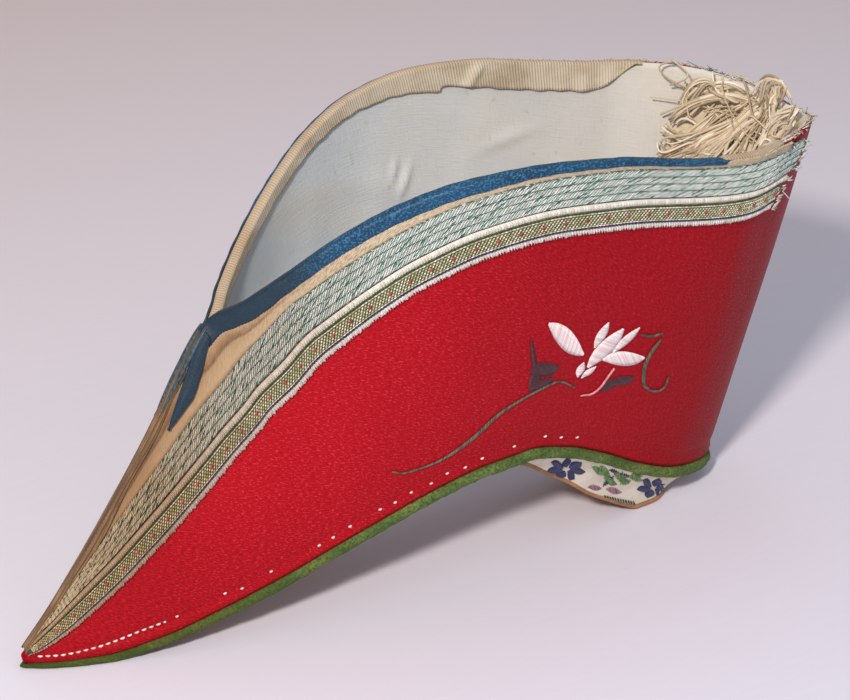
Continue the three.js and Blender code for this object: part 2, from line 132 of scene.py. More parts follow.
# Where the ribbons begin, how much of their widths a section has room for, and the binding
TRIM = table(
    "at start full binding",
    [
        [0.00, 0.02, 0.05, 1.00],
        [0.03, 0.05, 0.26, 1.00],
        [0.08, 0.12, 0.50, 1.00],
        [0.15, 0.26, 0.71, 1.00],
        [0.22, 0.49, 0.81, 1.00],
        [0.29, 0.78, 0.88, 1.00],
        [0.34, 0.98, 0.88, 1.00],
        [0.39, 0.70, 0.92, 0.78],
        [0.44, 0.51, 0.93, 0.60],
        [0.50, 0.52, 0.93, 0.56],
        [0.56, 0.47, 0.96, 0.55],
        [0.62, 0.37, 1.00, 0.50],
        [0.68, 0.27, 1.02, 0.32],
        [0.74, 0.20, 1.02, 0.22],
        [0.80, 0.14, 0.98, 0.15],
        [1.00, 0.14, 0.96, 0.12],
    ],
)

# How far the facing inside the collar reaches down, a share of its width
FACING = table("at wide", [
    [0.345, 0.30], [0.43, 0.40], [0.53, 0.42], [0.595, 0.48], [0.667, 0.70], [0.706, 0.90],
    [0.709, 0.76], [0.763, 0.98], [0.848, 0.96], [0.868, 0.60], [0.893, -0.12],
])

# The facing's turn over the collar's edge: shares across it, millimetres out and below the edge
FACING_TURN = table("across out drop", [
    [0.0, 0.25, 0.5], [0.1, -0.1, -0.12], [0.2, -0.8, -0.22], [0.3, -1.30, 0.0], [1.0, -1.34, 0.0],
])

# The binding's profile from its lower edge outside to inside the collar, a drop in shares of its
# width and an offset in millimetres
BINDING_PROFILE = table("at drop offset", [
    [0.00, 1.00, 0.42], [0.12, 0.90, 0.68], [0.40, 0.48, 0.76], [0.60, 0.14, 0.72],
    [0.70, -0.06, 0.52], [0.78, -0.14, 0.16], [1.00, -0.16, -0.95],
])

# Small folds in the lining: turn round the shoe and drop of the middle, half its length and
# height in millimetres, and its lean down the wall in radians
FOLDS = table("turn drop long high lean", [
    [1.231, 13.4, 4.2, 0.9, 0.50], [1.353, 18.0, 2.6, 0.8, 0.95], [1.362, 15.5, 1.6, 0.6, 1.1],
    [1.113, 4.4, 3.4, 0.9, -1.25], [1.211, 3.2, 2.6, 0.7, -1.1], [1.290, 2.0, 2.2, 0.5, 1.3],
    [0.760, 9.0, 4.0, 0.7, 0.6], [0.640, 14.0, 3.6, 0.7, -0.5],
])

TO_METRES, TO_MILLIMETRES = 0.001, 1000
# How far x in the shapes is ahead of x in the part's frame
SHIFT = SECTIONS["top_along"][0] * SOLE_LENGTH - TO_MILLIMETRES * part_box("upper")[1].x
# The step in shares of the shoe over which a surface's slope is taken
STEP = 0.003
# What a ribbon's width counts as in its pattern's coordinates
ACROSS = 10.0


def linear(code):
    """An sRGB hex colour as linear red, green, blue and alpha."""
    parts = [int(code[i : i + 2], 16) / 255 for i in (1, 3, 5)]
    return [c / 12.92 if c <= 0.04045 else ((c + 0.055) / 1.055) ** 2.4 for c in parts] + [1.0]


# Shapes


def follow(rows, column, at):
    """A curve through a table's rows with no overshoot: a cubic between rows, whose slope at a
    row is the harmonic mean of the slopes beside it, or nought at a turn."""
    x, y = rows["at"], rows[column]
    at = np.asarray(at, float)
    slope = np.diff(y) / np.diff(x)
    before, after = slope[:-1], slope[1:]
    same = before * after > 0
    inner = np.where(same, 2 * before * after / np.where(same, before + after, 1), 0)
    tangent = np.concatenate([slope[:1], inner, slope[-1:]])
    i = np.clip(np.searchsorted(x, at, side="left") - 1, 0, len(x) - 2)
    span = x[i + 1] - x[i]
    t = (at - x[i]) / span
    h = t * t * (3 - 2 * t)
    start = t * (1 - t) ** 2 * span * tangent[i]
    end = t * t * (1 - t) * span * tangent[i + 1]
    return y[i] * (1 - h) + y[i + 1] * h + start - end


def smooth(x, low, high):
    """Nought below low, one above high, and a smooth step between."""
    t = np.clip((x - low) / (high - low), 0, 1)
    return t * t * (3 - 2 * t)


def unit(vectors):
    """The vectors at length one."""
    return vectors / np.maximum(np.linalg.norm(vectors, axis=-1, keepdims=True), 1e-9)


def cord_radius(at):
    """Half the welt cord's thickness: full along the side and thinner at the toe."""
    return follow(SECTIONS, "cord", at) * WELT_DIAMETER / 2


def sole_under(at):
    """The height of the sole's underside: the section's share of the arch's rise."""
    return follow(SECTIONS, "rise", at) * ARCH_RISE


def edge_height(at):
    """The height of the upper's lower edge: the sole's line, the cord's thickness and a gap."""
    return sole_under(at) + WELT_LIFT + 2 * cord_radius(at) + GAP


def sole_edge(at):
    """The upper's lower edge: the sole's outline in plan, at the edge's height."""
    x = follow(SECTIONS, "along", at) * SOLE_LENGTH
    return np.stack([x, follow(SECTIONS, "wide", at) * BALL_WIDTH / 2, edge_height(at)], -1)


def top_edge(at):
    """The upper's top edge: the ridge from the toe to the throat, then the collar."""
    x = follow(SECTIONS, "top_along", at) * SOLE_LENGTH
    y = follow(SECTIONS, "top_wide", at) * COLLAR_WIDTH / 2
    return np.stack([x, y, follow(SECTIONS, "top_high", at) * COLLAR_HEIGHT], -1)


def face(at, v):
    """The upper's left face: straight from sole edge to top edge, bulged by a parabola."""
    at, v = np.broadcast_arrays(np.asarray(at, float), np.asarray(v, float))
    point = sole_edge(at) * (1 - v[..., None]) + top_edge(at) * v[..., None]
    point[..., 1] += follow(SECTIONS, "bulge", at) * SIDE_BULGE * 4 * v * (1 - v)
    return point


def section_length(at):
    """The straight distance from a section's lower edge to its top edge."""
    return np.linalg.norm(top_edge(at) - sole_edge(at), axis=-1)


def below(at, drop):
    """The share of a section's height that is a drop below its top edge."""
    return 1 - drop / section_length(at)


def ripple(at, v):
    """How far the cloth stands off its form: two slow waves that die out at the edges, a
    groove along the row of stitches above the welt and a soft roll under it."""
    rest = np.sin(np.pi * np.clip(v, 0, 1))
    waves = 0.16 * np.sin(23 * at + 3 * v) + 0.09 * np.sin(51 * at - 6 * v + 1)
    high = v * section_length(at)
    tuck = -0.20 * np.exp(-(((high - 2.0) / 0.55) ** 2)) + 0.22 * np.exp(-(((high - 0.9) / 0.7) ** 2))
    crease = -0.16 * np.exp(-(((at - 0.437 + 0.03 * v) / 0.0035) ** 2))
    return rest * (waves + crease) + tuck * smooth(at, 0.02, 0.08) * (high > 0)


def place(at, v, offset=0.0, side=1.0):
    """A point of the face moved out along its normal, on the left or mirrored to the right."""
    at, v, offset = np.broadcast_arrays(*(np.asarray(a, float) for a in (at, v, offset)))
    along = face(np.minimum(1, at + STEP), v) - face(np.maximum(0, at - STEP), v)
    upward = face(at, v + STEP) - face(at, v - STEP)
    normal = np.cross(along, upward)
    normal[..., 1] *= (at > 0) & (at < 1)
    point = face(at, v) + unit(normal) * (offset + ripple(at, v))[..., None]
    point[..., 1] = np.maximum(point[..., 1], 0) * side
    return point


def from_toe(turn):
    """How far back from the toe a turn round the shoe is: it runs from 0 at the toe, by the left
    to 1 at the back seam, and by the right to 2 at the toe again."""
    return 1 - np.abs(1 - np.asarray(turn, float))


def side_of(turn):
    """One on the left side and minus one on the right."""
    return np.where(np.asarray(turn) > 1, -1.0, 1.0)


def round_back(turn, v, offset=0.0):
    """The face all round, by a turn round the shoe and a share of the section's height."""
    return place(from_toe(turn), v, offset, side_of(turn))


def inset_edge(at, inset):
    """The sole's outline in plan moved inward, as x and y."""
    along = sole_edge(np.minimum(1, at + STEP)) - sole_edge(np.maximum(0, at - STEP))
    out = unit(np.stack([along[..., 1], -along[..., 0]], -1))
    out = np.where((at <= 0)[..., None], [1.0, 0.0], out)
    out = np.where((at >= 1)[..., None], [-1.0, 0.0], out)
    point = sole_edge(at)[..., :2] - out * np.asarray(inset)[..., None]
    point[..., 1] = np.maximum(point[..., 1], 0)
    return point


def inside_welt(at):
    """The line inside the welt: the sole's outline moved in by what the cord takes and a gap."""
    return inset_edge(at, 2 * cord_radius(at) - WELT_OVERHANG + GAP)


def tape_end(at):
    """How far below the top edge the tape shows, and the wide ribbon begins."""
    return follow(TRIM, "start", at) * TAPE_WIDTH


def narrow_end(at):
    """The narrow ribbon's lower edge: both ribbons and a gap below the tape, in the share of
    their widths that the section has room for."""
    return tape_end(at) + follow(TRIM, "full", at) * (WIDE_RIBBON + GAP + NARROW_RIBBON)


def narrow_start(at):
    """Toward the toe the wide ribbon runs off over the ridge and the narrow one keeps most of
    its width, so its share of both grows as they get narrower."""
    room = follow(TRIM, "full", at)
    share = np.interp(room, [0.05, 0.26, 0.5, 0.71, 0.88], [0.96, 0.84, 0.70, 0.58, 0.515])
    return narrow_end(at) - share * (narrow_end(at) - tape_end(at))


def wide_end(at):
    """The wide ribbon's lower edge, a hair above the narrow ribbon."""
    return narrow_start(at) - 0.08


def binding_end(at):
    """The binding's lower edge: one and a half times its share of the width at a section, and
    at most a twentieth more than the width."""
    return np.minimum(1.5 * follow(TRIM, "binding", at), 1.05) * BINDING_WIDTH


def tape_start(at):
    """The tape's upper edge: under the binding by more than half of the binding's width where
    there is one, and turned over the edge behind it."""
    under = binding_end(at) * 0.6 * smooth(at, 0.285, 0.33) * (1 - smooth(at, 0.825, 0.835))
    return 0.3 * GAP + under - 0.2 * smooth(at, 0.825, 0.84)


class Band:
    """A strip of the upper's face between two drops below its top edge, walked in
    millimetres along and in shares across. Its back end is cut on a slant and frayed."""

    SAMPLES = 900
    # how far from the back end, in millimetres, the slanting cut and the curl begin
    CUT, CURL = 16, 3

    def __init__(self, ends, start, stop, slant):
        self.at = np.linspace(*ends, self.SAMPLES)
        self.start, self.stop, self.slant = start, stop, slant
        middle = place(self.at, below(self.at, (start(self.at) + stop(self.at)) / 2))
        steps = np.linalg.norm(np.diff(middle, axis=0), axis=1)
        self.run = np.concatenate([[0], np.cumsum(steps)])
        self.length = self.run[-1]

    def point(self, run, across, lift, side=1.0):
        """A point of the strip. Over the last millimetres it is drawn forward by the slant and
        by two waves across, and the very end curls up in a third."""
        fray = 0.5 * np.sin(23 * across + 1) + 0.4 * np.sin(51 * across)
        back = smooth(run, self.length - self.CUT, self.length)
        at = np.interp(run - back * (self.slant * across + fray), self.run, self.at)
        drop = self.start(at) + (self.stop(at) - self.start(at)) * across
        curl = 0.35 * smooth(run, self.length - self.CURL, self.length) * np.abs(np.sin(9 * across))
        return place(at, below(at, drop), lift + curl, side)


# The camera, which also tells where a pixel of the photograph lies: the point that it looks at
# and how far it is shifted right and up, its angles, its distance and its focal length in pixels
VIEW_TARGET, VIEW_SHIFT = (64.5, 0, 40), (6.21, -0.23)
VIEW_AZIMUTH, VIEW_HEIGHT, VIEW_ROLL = math.radians(62), math.radians(28.9), math.radians(-0.286)
VIEW_DISTANCE, VIEW_PIXELS = 351.99, 2200.0
PHOTO_SIZE = (850, 700)


def camera_axes():
    """The camera's right, up and back directions and its place: a point on a sphere round the
    shoe, seen square on, then rolled."""
    forward, left = math.cos(VIEW_AZIMUTH), math.sin(VIEW_AZIMUTH)
    level_share, height_share = math.cos(VIEW_HEIGHT), math.sin(VIEW_HEIGHT)
    back = np.array([level_share * forward, level_share * left, height_share])
    level = np.array([-left, forward, 0])
    upright = np.cross(back, level)
    right = math.cos(VIEW_ROLL) * level + math.sin(VIEW_ROLL) * upright
    up = math.cos(VIEW_ROLL) * upright - math.sin(VIEW_ROLL) * level
    eye = np.array(VIEW_TARGET) + VIEW_DISTANCE * back + VIEW_SHIFT[0] * right + VIEW_SHIFT[1] * up
    return right, up, back, eye


def project(points):
    """Pixels of points: the distances right and up, over the distance in front."""
    right, up, back, eye = camera_axes()
    ray = points - eye
    depth = -(ray @ back)
    x = PHOTO_SIZE[0] / 2 + VIEW_PIXELS * (ray @ right) / depth
    return np.stack([x, PHOTO_SIZE[1] / 2 - VIEW_PIXELS * (ray @ up) / depth], -1)


def under_pixels(pixels, surface, first, second, grid=(110, 60), rounds=5):
    """The two parameters of a surface that show at each pixel: the nearest of a grid of
    samples, brought closer by rounds of Newton's method."""
    pixels = np.asarray(pixels, float).reshape(-1, 2)
    a, b = np.meshgrid(np.linspace(*first, grid[0]), np.linspace(*second, grid[1]), indexing="ij")
    seen = project(surface(a, b)).reshape(1, -1, 2)
    best = ((seen - pixels[:, None]) ** 2).sum(-1).argmin(1)
    at = np.stack([a.ravel()[best], b.ravel()[best]])
    small = 1e-3
    for _ in range(rounds):
        here = project(surface(*at))
        da = (project(surface(at[0] + small, at[1])) - here) / small
        db = (project(surface(at[0], at[1] + small)) - here) / small
        miss = pixels - here
        area = da[:, 0] * db[:, 1] - da[:, 1] * db[:, 0]
        at[0] += (miss[:, 0] * db[:, 1] - miss[:, 1] * db[:, 0]) / area
        at[1] += (da[:, 0] * miss[:, 1] - da[:, 1] * miss[:, 0]) / area
        at = np.clip(at, [[first[0]], [second[0]]], [[first[1] - small], [second[1]]])
    return at


# Meshes


def grid_quads(rows, columns, wrap=False, flip=False):
    """The faces of a grid of points; wrap joins the last column to the first."""
    row = np.arange(rows - 1)[:, None] * columns
    below_row = row + columns
    column = np.arange(columns if wrap else columns - 1)[None]
    after = (column + 1) % columns
    quads = np.stack([row + column, below_row + column, below_row + after, row + after], -1)
    quads = quads.reshape(-1, 4)
    return quads[:, ::-1] if flip else quads


def piece(name, points, faces, material, nodes=(), uv=None, shade=None, merge=True):
    """A mesh object from points in millimetres and lists of faces, riding on the shoe."""
    flat = points.reshape(-1, 3)
    mesh = bpy.data.meshes.new(name)
    cells = [cell for group in faces for cell in group.tolist()]
    mesh.from_pydata(((flat - [SHIFT, 0, 0]) * TO_METRES).tolist(), [], cells)
    if uv is not None:
        corner = np.empty(len(mesh.loops), np.int32)
        mesh.loops.foreach_get("vertex_index", corner)
        layer = mesh.uv_layers.new(name="cloth")
        layer.data.foreach_set("uv", uv.reshape(-1, 2)[corner].astype(np.float32).ravel())
    if shade is not None:
        layer = mesh.attributes.new("shade", "FLOAT", "POINT")
        layer.data.foreach_set("value", shade.astype(np.float32).ravel())
    if merge:
        work = bmesh.new()
        work.from_mesh(mesh)
        bmesh.ops.remove_doubles(work, verts=work.verts, dist=1e-6)
        work.to_mesh(mesh)
        work.free()
    mesh.shade_smooth()
    obj = bpy.data.objects.new(name, mesh)
    bpy.context.scene.collection.objects.link(obj)
    mesh.materials.append(material)
    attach(obj, "root")
    if nodes:
        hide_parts(*nodes)
    return obj


def thicken(obj, thickness):
    """Gives an open sheet its thickness inward from the side that its faces look to."""
    wall = obj.modifiers.new("thickness", "SOLIDIFY")
    wall.thickness = thickness * TO_METRES
    wall.offset = -1
    return obj


def spread(points):
    """Lengths along the two directions of a grid of points, for a pattern in millimetres."""
    down = np.linalg.norm(np.diff(points, axis=1), axis=-1)
    along = np.linalg.norm(np.diff(points, axis=0), axis=-1).mean(1)
    v = np.concatenate([np.zeros((len(points), 1)), np.cumsum(down, 1)], 1)
    u = np.concatenate([[0], np.cumsum(along)])[:, None] + 0 * v
    return np.stack([u, v], -1)


def tubes(paths, radii, up, ring=5, flat=1.0):
    """Closed threads: a ring of points carried along each path, flattened toward the cloth,
    with a point at both ends. Returns points, quads and triangles."""
    tangent = unit(np.gradient(paths, axis=1))
    across = unit(np.cross(tangent, up))
    rise = np.cross(across, tangent)
    turn = np.arange(ring) * 2 * np.pi / ring
    offset = across[:, :, None] * np.cos(turn)[:, None] + rise[:, :, None] * flat * np.sin(turn)[:, None]
    rings = paths[:, :, None] + np.asarray(radii)[..., None, None] * offset
    count, steps = paths.shape[:2]
    points = np.concatenate([rings.reshape(count, -1, 3), paths[:, :1], paths[:, -1:]], 1)
    each = steps * ring + 2
    spoke = np.arange(ring)
    after = (spoke + 1) % ring
    last = (steps - 1) * ring
    caps = np.concatenate([
        np.stack([np.full(ring, each - 2), spoke, after], -1),
        np.stack([np.full(ring, each - 1), last + after, last + spoke], -1),
    ])
    base = (np.arange(count) * each)[:, None, None]
    quads = (grid_quads(steps, ring, wrap=True)[None] + base).reshape(-1, 4)
    return points, quads, (caps[None] + base).reshape(-1, 3)


def threads(name, starts, ends, up, width, height, material, steps=4, ring=5, seed=1):
    """Short stitches: each a straight line from its start to its end, raised by the middle part
    of a sine, and narrower at both ends."""
    t = np.linspace(0, 1, steps)
    arch = np.sin(np.pi * (0.12 + 0.76 * t)) - 0.3
    paths = starts[:, None] * (1 - t)[:, None] + ends[:, None] * t[:, None]
    paths = paths + up[:, None] * (height * arch)[:, None]
    radii = width / 2 * (0.55 + 0.45 * np.sin(np.pi * t)) + np.zeros((len(starts), 1))
    points, quads, caps = tubes(paths, radii, up[:, None], ring, 0.8)
    shade = np.repeat(np.random.default_rng(seed).random(len(starts)), points.shape[1])
    return piece(name, points, [quads, caps], material, shade=shade, merge=False)


def out_from(points):
    """Outward directions of the upper's cloth at points on it, near enough for a stitch: to the
    point's own side, a little forward and a little up."""
    side = np.sign(points[..., 1:2])
    return unit(np.concatenate([0.12 + 0 * side, side * 0.96, 0.22 + 0 * side], -1))


def mirror(points):
    """The points on the other side of the shoe."""
    return points * [1, -1, 1]


# Materials


class Finish:
    """A material being made: its tree, its shader and the coordinates that patterns read, which
    are millimetres on the cloth and metres in the part's frame."""

    def __init__(self, name, roughness, sheen=0.0, specular=0.5):
        self.material = bpy.data.materials.new(name)
        self.material.use_nodes = True
        self.tree = self.material.node_tree
        self.shader = self.tree.nodes["Principled BSDF"]
        self.set("Roughness", roughness)
        self.set("Sheen Weight", sheen)
        self.set("Specular IOR Level", specular)
        coordinates = self.add("TexCoord")
        self.cloth, self.place = coordinates.outputs["UV"], coordinates.outputs["Object"]

    def feed(self, socket, value):
        """Links a node or an output to a socket, or sets the socket to a number or a colour."""
        if isinstance(value, bpy.types.Node):
            value = next(output for output in value.outputs if output.enabled)
        if isinstance(value, bpy.types.NodeSocket):
            self.tree.links.new(value, socket)
        elif value is not None:
            socket.default_value = linear(value) if isinstance(value, str) else value

    def add(self, kind, *inputs, stops=(), steps=False, **settings):
        """A node with its settings. The inputs go to its sockets in use, in their order, and None
        leaves one as it is. Stops are a ramp's places and colours, with steps between or not."""
        node = self.tree.nodes.new("ShaderNode" + kind)
        for name, value in settings.items():
            setattr(node, name, value)
        for socket, value in zip([socket for socket in node.inputs if socket.enabled], inputs):
            self.feed(socket, value)
        if stops:
            band = node.color_ramp
            band.interpolation = "CONSTANT" if steps else "LINEAR"
            while len(band.elements) < len(stops):
                band.elements.new(0.5)
            for element, (at, colour) in zip(band.elements, stops):
                element.position = at
                element.color = linear(colour) if isinstance(colour, str) else [colour] * 3 + [1]
        return node

    def set(self, name, value):
        self.feed(self.shader.inputs[name], value)

    def grains(self, source, size, turn=0.0, detail=2.0, rough=0.5):
        """Noise from 0 to 1 whose grains measure size, lengths in the units of the source, and
        are turned by an angle in radians."""
        where = self.add("Mapping", source, None, (0, 0, turn), (size[0], size[1], size[-1]),
                         vector_type="TEXTURE")
        return self.add("TexNoise", where, 1.0, detail, rough)

    def aged(self, colour, brown="#b8946c", most=0.9):
        """The colour stained toward the toe, where handling has browned the trims: a brown
        laid over it like a wash, so that its light and dark threads still show."""
        blot = self.grains(self.place, (0.007, 0.007, 0.007), 0.0, 3.0)
        wander = self.add("Math", blot, 0.016, operation="MULTIPLY")
        reach = self.add("Math", self.add("SeparateXYZ", self.place), wander, operation="ADD")
        share = self.add("MapRange", reach, 0.022, 0.056, 0.0, most)
        return self.add("Mix", share, colour, brown, data_type="RGBA", blend_type="MULTIPLY")

    def done(self, colour, height=None, depth=0.0, strength=1.0):
        """The material, with its colour and a relief whose depth is in millimetres."""
        self.set("Base Color", colour)
        if height:
            self.set("Normal", self.add("Bump", strength, depth * TO_METRES, None, height))
        return self.material


def thread_finish(name, colour, dark, aged=None):
    """Silk or cotton thread: each stitch a little lighter or darker than the next, with the
    soft gloss of spun filaments."""
    made = Finish(name, 0.5, sheen=0.05)
    shade = made.add("Attribute", attribute_name="shade").outputs["Fac"]
    tint = made.add("Mix", shade, dark, colour, data_type="RGBA")
    return made.done(made.aged(tint, aged) if aged else tint)


def satin_finish(colours):
    """Red silk satin, woven: diagonal floats with short painted highlights on them, glinting a
    lighter red, and a soft gloss; bright at the vamp and deeper toward the heel, which is painted
    shade, and darker toward the toe. The floats are drawn 0.8 mm long, coarser than real ones, so
    that they show."""
    made = Finish("red_silk_satin", 0.55, specular=0.08)
    floats = made.grains(made.cloth, (0.80, 0.15), -0.62, 1.0)
    breaks = made.grains(made.cloth, (0.42, 0.34), -0.62, 0.0)
    both = made.add("Math", floats, breaks, operation="MULTIPLY")
    # painted highlights: short glint marks on the floats, mixed in below as a lighter red
    painted_glint_mask = made.add("ValToRGB", both, stops=[(0.30, 0.0), (0.42, 1.0)])
    slow = made.grains(made.place, (0.03, 0.02, 0.03))
    x = made.add("SeparateXYZ", made.place)
    # painted shade: the silk deepens toward the heel and darkens toward the toe, and a slow random tone adds
    # to it
    heel = made.add("MapRange", x, 0.012, -0.05, 0.0, 1.0)
    toe = made.add("MapRange", x, 0.02, 0.07, 0.0, 0.7)
    ends = made.add("Math", heel, toe, operation="ADD")
    depth = made.add("Math", ends, slow, operation="ADD")
    depth = made.add("Math", depth, 0.6, operation="MULTIPLY")
    ground = made.add("Mix", depth, colours.satin, colours.satin_deep_and_shaded, data_type="RGBA")
    twill = made.add("Mix", 0.4, ground, "#d01c2e", data_type="RGBA")
    raised = made.add("ValToRGB", floats, stops=[(0.38, 0.0), (0.66, 1.0)])
    ground = made.add("Mix", raised, ground, twill, data_type="RGBA")
    # the painted highlights fade where the painted shade is deep
    dimmer = made.add("ValToRGB", depth, stops=[(0.0, 0.34), (0.8, 0.07)])
    catch = made.add("Math", painted_glint_mask, dimmer, operation="MULTIPLY")
    made.set("Roughness", made.add("ValToRGB", painted_glint_mask, stops=[(0.0, 0.5), (1.0, 0.38)]))
    return made.done(made.add("Mix", catch, ground, "#e8566a", data_type="RGBA"), floats, 0.12, 0.45)


def lining_finish(colours):
    """Plain-woven cotton, washed pale: a fine square weave with faint stains and a few small
    rust specks."""
    made = Finish("cotton_lining", 0.9, sheen=0.1)
    warp = made.grains(made.cloth, (0.28, 3.0), 0.0, 1.0)
    weft = made.grains(made.cloth, (3.0, 0.28), 0.0, 1.0)
    weave = made.add("Math", warp, weft, operation="ADD")
    blots = made.grains(made.place, (0.014, 0.014, 0.011), 0.0, 3.0)
    stain = made.add("ValToRGB", blots, stops=[(0.46, 0.0), (0.74, 1.0)])
    dots = made.grains(made.place, (0.0013, 0.0013, 0.0013), 0.0, 0.0)
    speck = made.add("ValToRGB", dots, stops=[(0.80, 0.0), (0.88, 1.0)])
    warm = made.add("MapRange", made.add("SeparateXYZ", made.place), 0.02, -0.05, 0.0, 1.0)
    ground = made.add("Mix", warm, colours.lining, "#cbc6be", data_type="RGBA")
    for mask, most, colour in ((stain, 0.5, "#d8ccb2"), (speck, 0.3, "#a08258"), (weave, 0.14, "#e4e6e6")):
        share = made.add("Math", mask, most, operation="MULTIPLY")
        ground = made.add("Mix", share, ground, colour, data_type="RGBA")
    return made.done(ground, weave, 0.12, 0.5)


def facing_finish():
    """Ribbed cotton facing, beige: fine ribs a third of a millimetre apart, stained in patches and
    soiled along the collar's edge."""
    made = Finish("ribbed_facing", 0.88, sheen=0.08)
    wave = made.add("TexWave", made.cloth, 0.95, 0.8, 1.0, wave_type="BANDS", bands_direction="X")
    rib = wave.outputs["Fac"]
    blots = made.grains(made.place, (0.006, 0.006, 0.004), 0.0, 3.0)
    stain = made.add("ValToRGB", blots, stops=[(0.38, 0.0), (0.68, 1.0)])
    ground = made.add("Mix", stain, "#cabca4", "#a99576", data_type="RGBA")
    across = made.add("SeparateXYZ", made.cloth).outputs["Y"]
    edge = made.add("MapRange", across, 1.9, 1.0, 0.0, 0.7)
    ground = made.add("Mix", edge, ground, "#9c7850", data_type="RGBA")
    light = made.add("Math", rib, 0.32, operation="MULTIPLY")
    return made.done(made.add("Mix", light, ground, "#e0d6c2", data_type="RGBA"), rib, 0.18, 0.6)


def tape_finish():
    """Cotton tape with slanting ribs, the colour of unbleached cloth. Toward the toe it has painted
    folds, stripes of painted light and shade across it, and it is browner."""
    made = Finish("cotton_tape", 0.8, sheen=0.08)
    fine = made.grains(made.cloth, (0.25, 1.6), 0.5, 2.0)
    light = made.add("ValToRGB", fine, stops=[(0.35, 0.0), (0.65, 1.0)])
    ground = made.add("Mix", light, "#a08866", "#dccbb0", data_type="RGBA")
    slow = made.grains(made.place, (0.012, 0.012, 0.012))
    wander = made.add("Math", slow, 0.35, operation="MULTIPLY")
    share = made.add("Math", made.add("SeparateXYZ", made.cloth).outputs["Y"], ACROSS, operation="DIVIDE")
    across = made.add("Math", share, wander, operation="ADD")
    # painted light and shade of folds, in stripes across the tape
    folds = made.add("ValToRGB", across, stops=[
        (0.12, "#6f5238"), (0.24, "#d9c4a0"), (0.5, "#a8845c"), (0.62, "#73563a"), (0.7, "#c9ae86"),
        (1.1, "#d6bf9a")])
    # the painted fold stripes take over toward the toe
    toe = made.add("MapRange", made.add("SeparateXYZ", made.place), 0.020, 0.034, 0.0, 0.75)
    ground = made.add("Mix", toe, ground, folds, data_type="RGBA")
    return made.done(made.aged(ground, "#a68462", 0.85), fine, 0.08, 0.5)


def wide_ground_finish():
    """The ground of the wide ribbon: fine pale and sea-green threads, twilled."""
    made = Finish("wide_ribbon_ground", 0.65, sheen=0.08)
    fine = made.grains(made.cloth, (0.9, 0.28), 0.55, 2.0)
    patch = made.grains(made.cloth, (3.0, 2.2), 0.5, 1.0)
    dark = made.add("ValToRGB", patch, stops=[(0.40, 0.0), (0.64, 1.0)])
    tone = made.add("Mix", dark, "#43574f", "#2b4740", data_type="RGBA")
    pale = made.add("ValToRGB", fine, stops=[(0.50, 0.0), (0.66, 1.0)])
    cloth = made.add("Mix", pale, tone, "#ccd3cd", data_type="RGBA")
    return made.done(made.aged(cloth, "#7a5636", 0.95), fine, 0.1, 0.6)


def narrow_ground_finish():
    """The ground of the narrow ribbon in woven stripes across its width: cream ribs, a dark
    line, a gold and green figure, a violet line and a pale selvedge."""
    made = Finish("narrow_ribbon_ground", 0.62, sheen=0.05)
    fine = made.grains(made.cloth, (0.5, 0.3), 0.6, 2.0)
    light = made.add("ValToRGB", fine, stops=[(0.44, 0.0), (0.56, 1.0)])
    gold = made.add("Mix", light, "#2f3820", "#7b794e", data_type="RGBA")
    share = made.add("Math", made.add("SeparateXYZ", made.cloth).outputs["Y"], ACROSS, operation="DIVIDE")
    stripes = made.add("ValToRGB", share, steps=True, stops=[
        (0.0, "#e4dfd2"), (0.19, "#3c4030"), (0.265, "#000000"), (0.70, "#3d2a52"), (0.765, "#d9d6cf")])
    inside = made.add("ValToRGB", share, steps=True, stops=[(0.0, 0.0), (0.265, 1.0), (0.70, 0.0)])
    cloth = made.add("Mix", inside, stripes, gold, data_type="RGBA")
    return made.done(made.aged(cloth, "#ac8a64", 0.9), fine, 0.1, 0.5)


def navy_finish(colours, name="navy_satin_binding", dull=0.020):
    """Indigo satin cut on the bias: deep blue with small lighter flecks where the floats catch
    light, drawn 0.5 mm long so that they show, and dull with wear ahead of an x in metres."""
    made = Finish(name, 0.5, sheen=0.03, specular=0.3)
    fleck = made.grains(made.place, (0.0005, 0.0003, 0.00025), 0.6, 1.0)
    slow = made.grains(made.place, (0.008, 0.008, 0.008))
    ground = made.add("Mix", slow, "#0a2540", colours.binding, data_type="RGBA")
    light = made.add("ValToRGB", fleck, stops=[(0.50, 0.0), (0.64, 0.75)])
    ground = made.add("Mix", light, ground, "#33769c", data_type="RGBA")
    worn = made.add("MapRange", made.add("SeparateXYZ", made.place), dull, dull + 0.008)
    worn = made.add("Math", worn, 0.9, operation="MULTIPLY")
    return made.done(made.add("Mix", worn, ground, "#1c2c38", data_type="RGBA"), fleck, 0.08, 0.6)


def velvet_finish(colours):
    """Green velvet: a short dense pile that is pale where it turns edge on, with rubbed
    patches, and painted shade in the hollows between its tufts. Its tufts are drawn 0.4 mm
    across, coarser than real ones, so that they show."""
    made = Finish("green_velvet", 0.95, sheen=0.2, specular=0.12)
    made.set("Sheen Roughness", 0.45)
    made.set("Sheen Tint", "#b9c98a")
    pile = made.grains(made.place, (0.0004, 0.0004, 0.0004), 0.0, 4.0, 0.7)
    patch = made.grains(made.place, (0.007, 0.007, 0.003), 0.0, 3.0)
    worn = made.add("ValToRGB", patch, stops=[(0.38, 0.0), (0.68, 1.0)])
    ground = made.add("Mix", worn, colours.welt, "#76864c", data_type="RGBA")
    ground = made.aged(ground, "#c4a878", 0.7)
    # painted shade: the hollows between the pile's tufts are darkened to a deep green
    pile_tips_over_painted_hollows = made.add("ValToRGB", pile, stops=[(0.32, 0.0), (0.62, 1.0)])
    return made.done(made.add("Mix", pile_tips_over_painted_hollows, "#34451f", ground, data_type="RGBA"), pile, 0.12, 0.7)


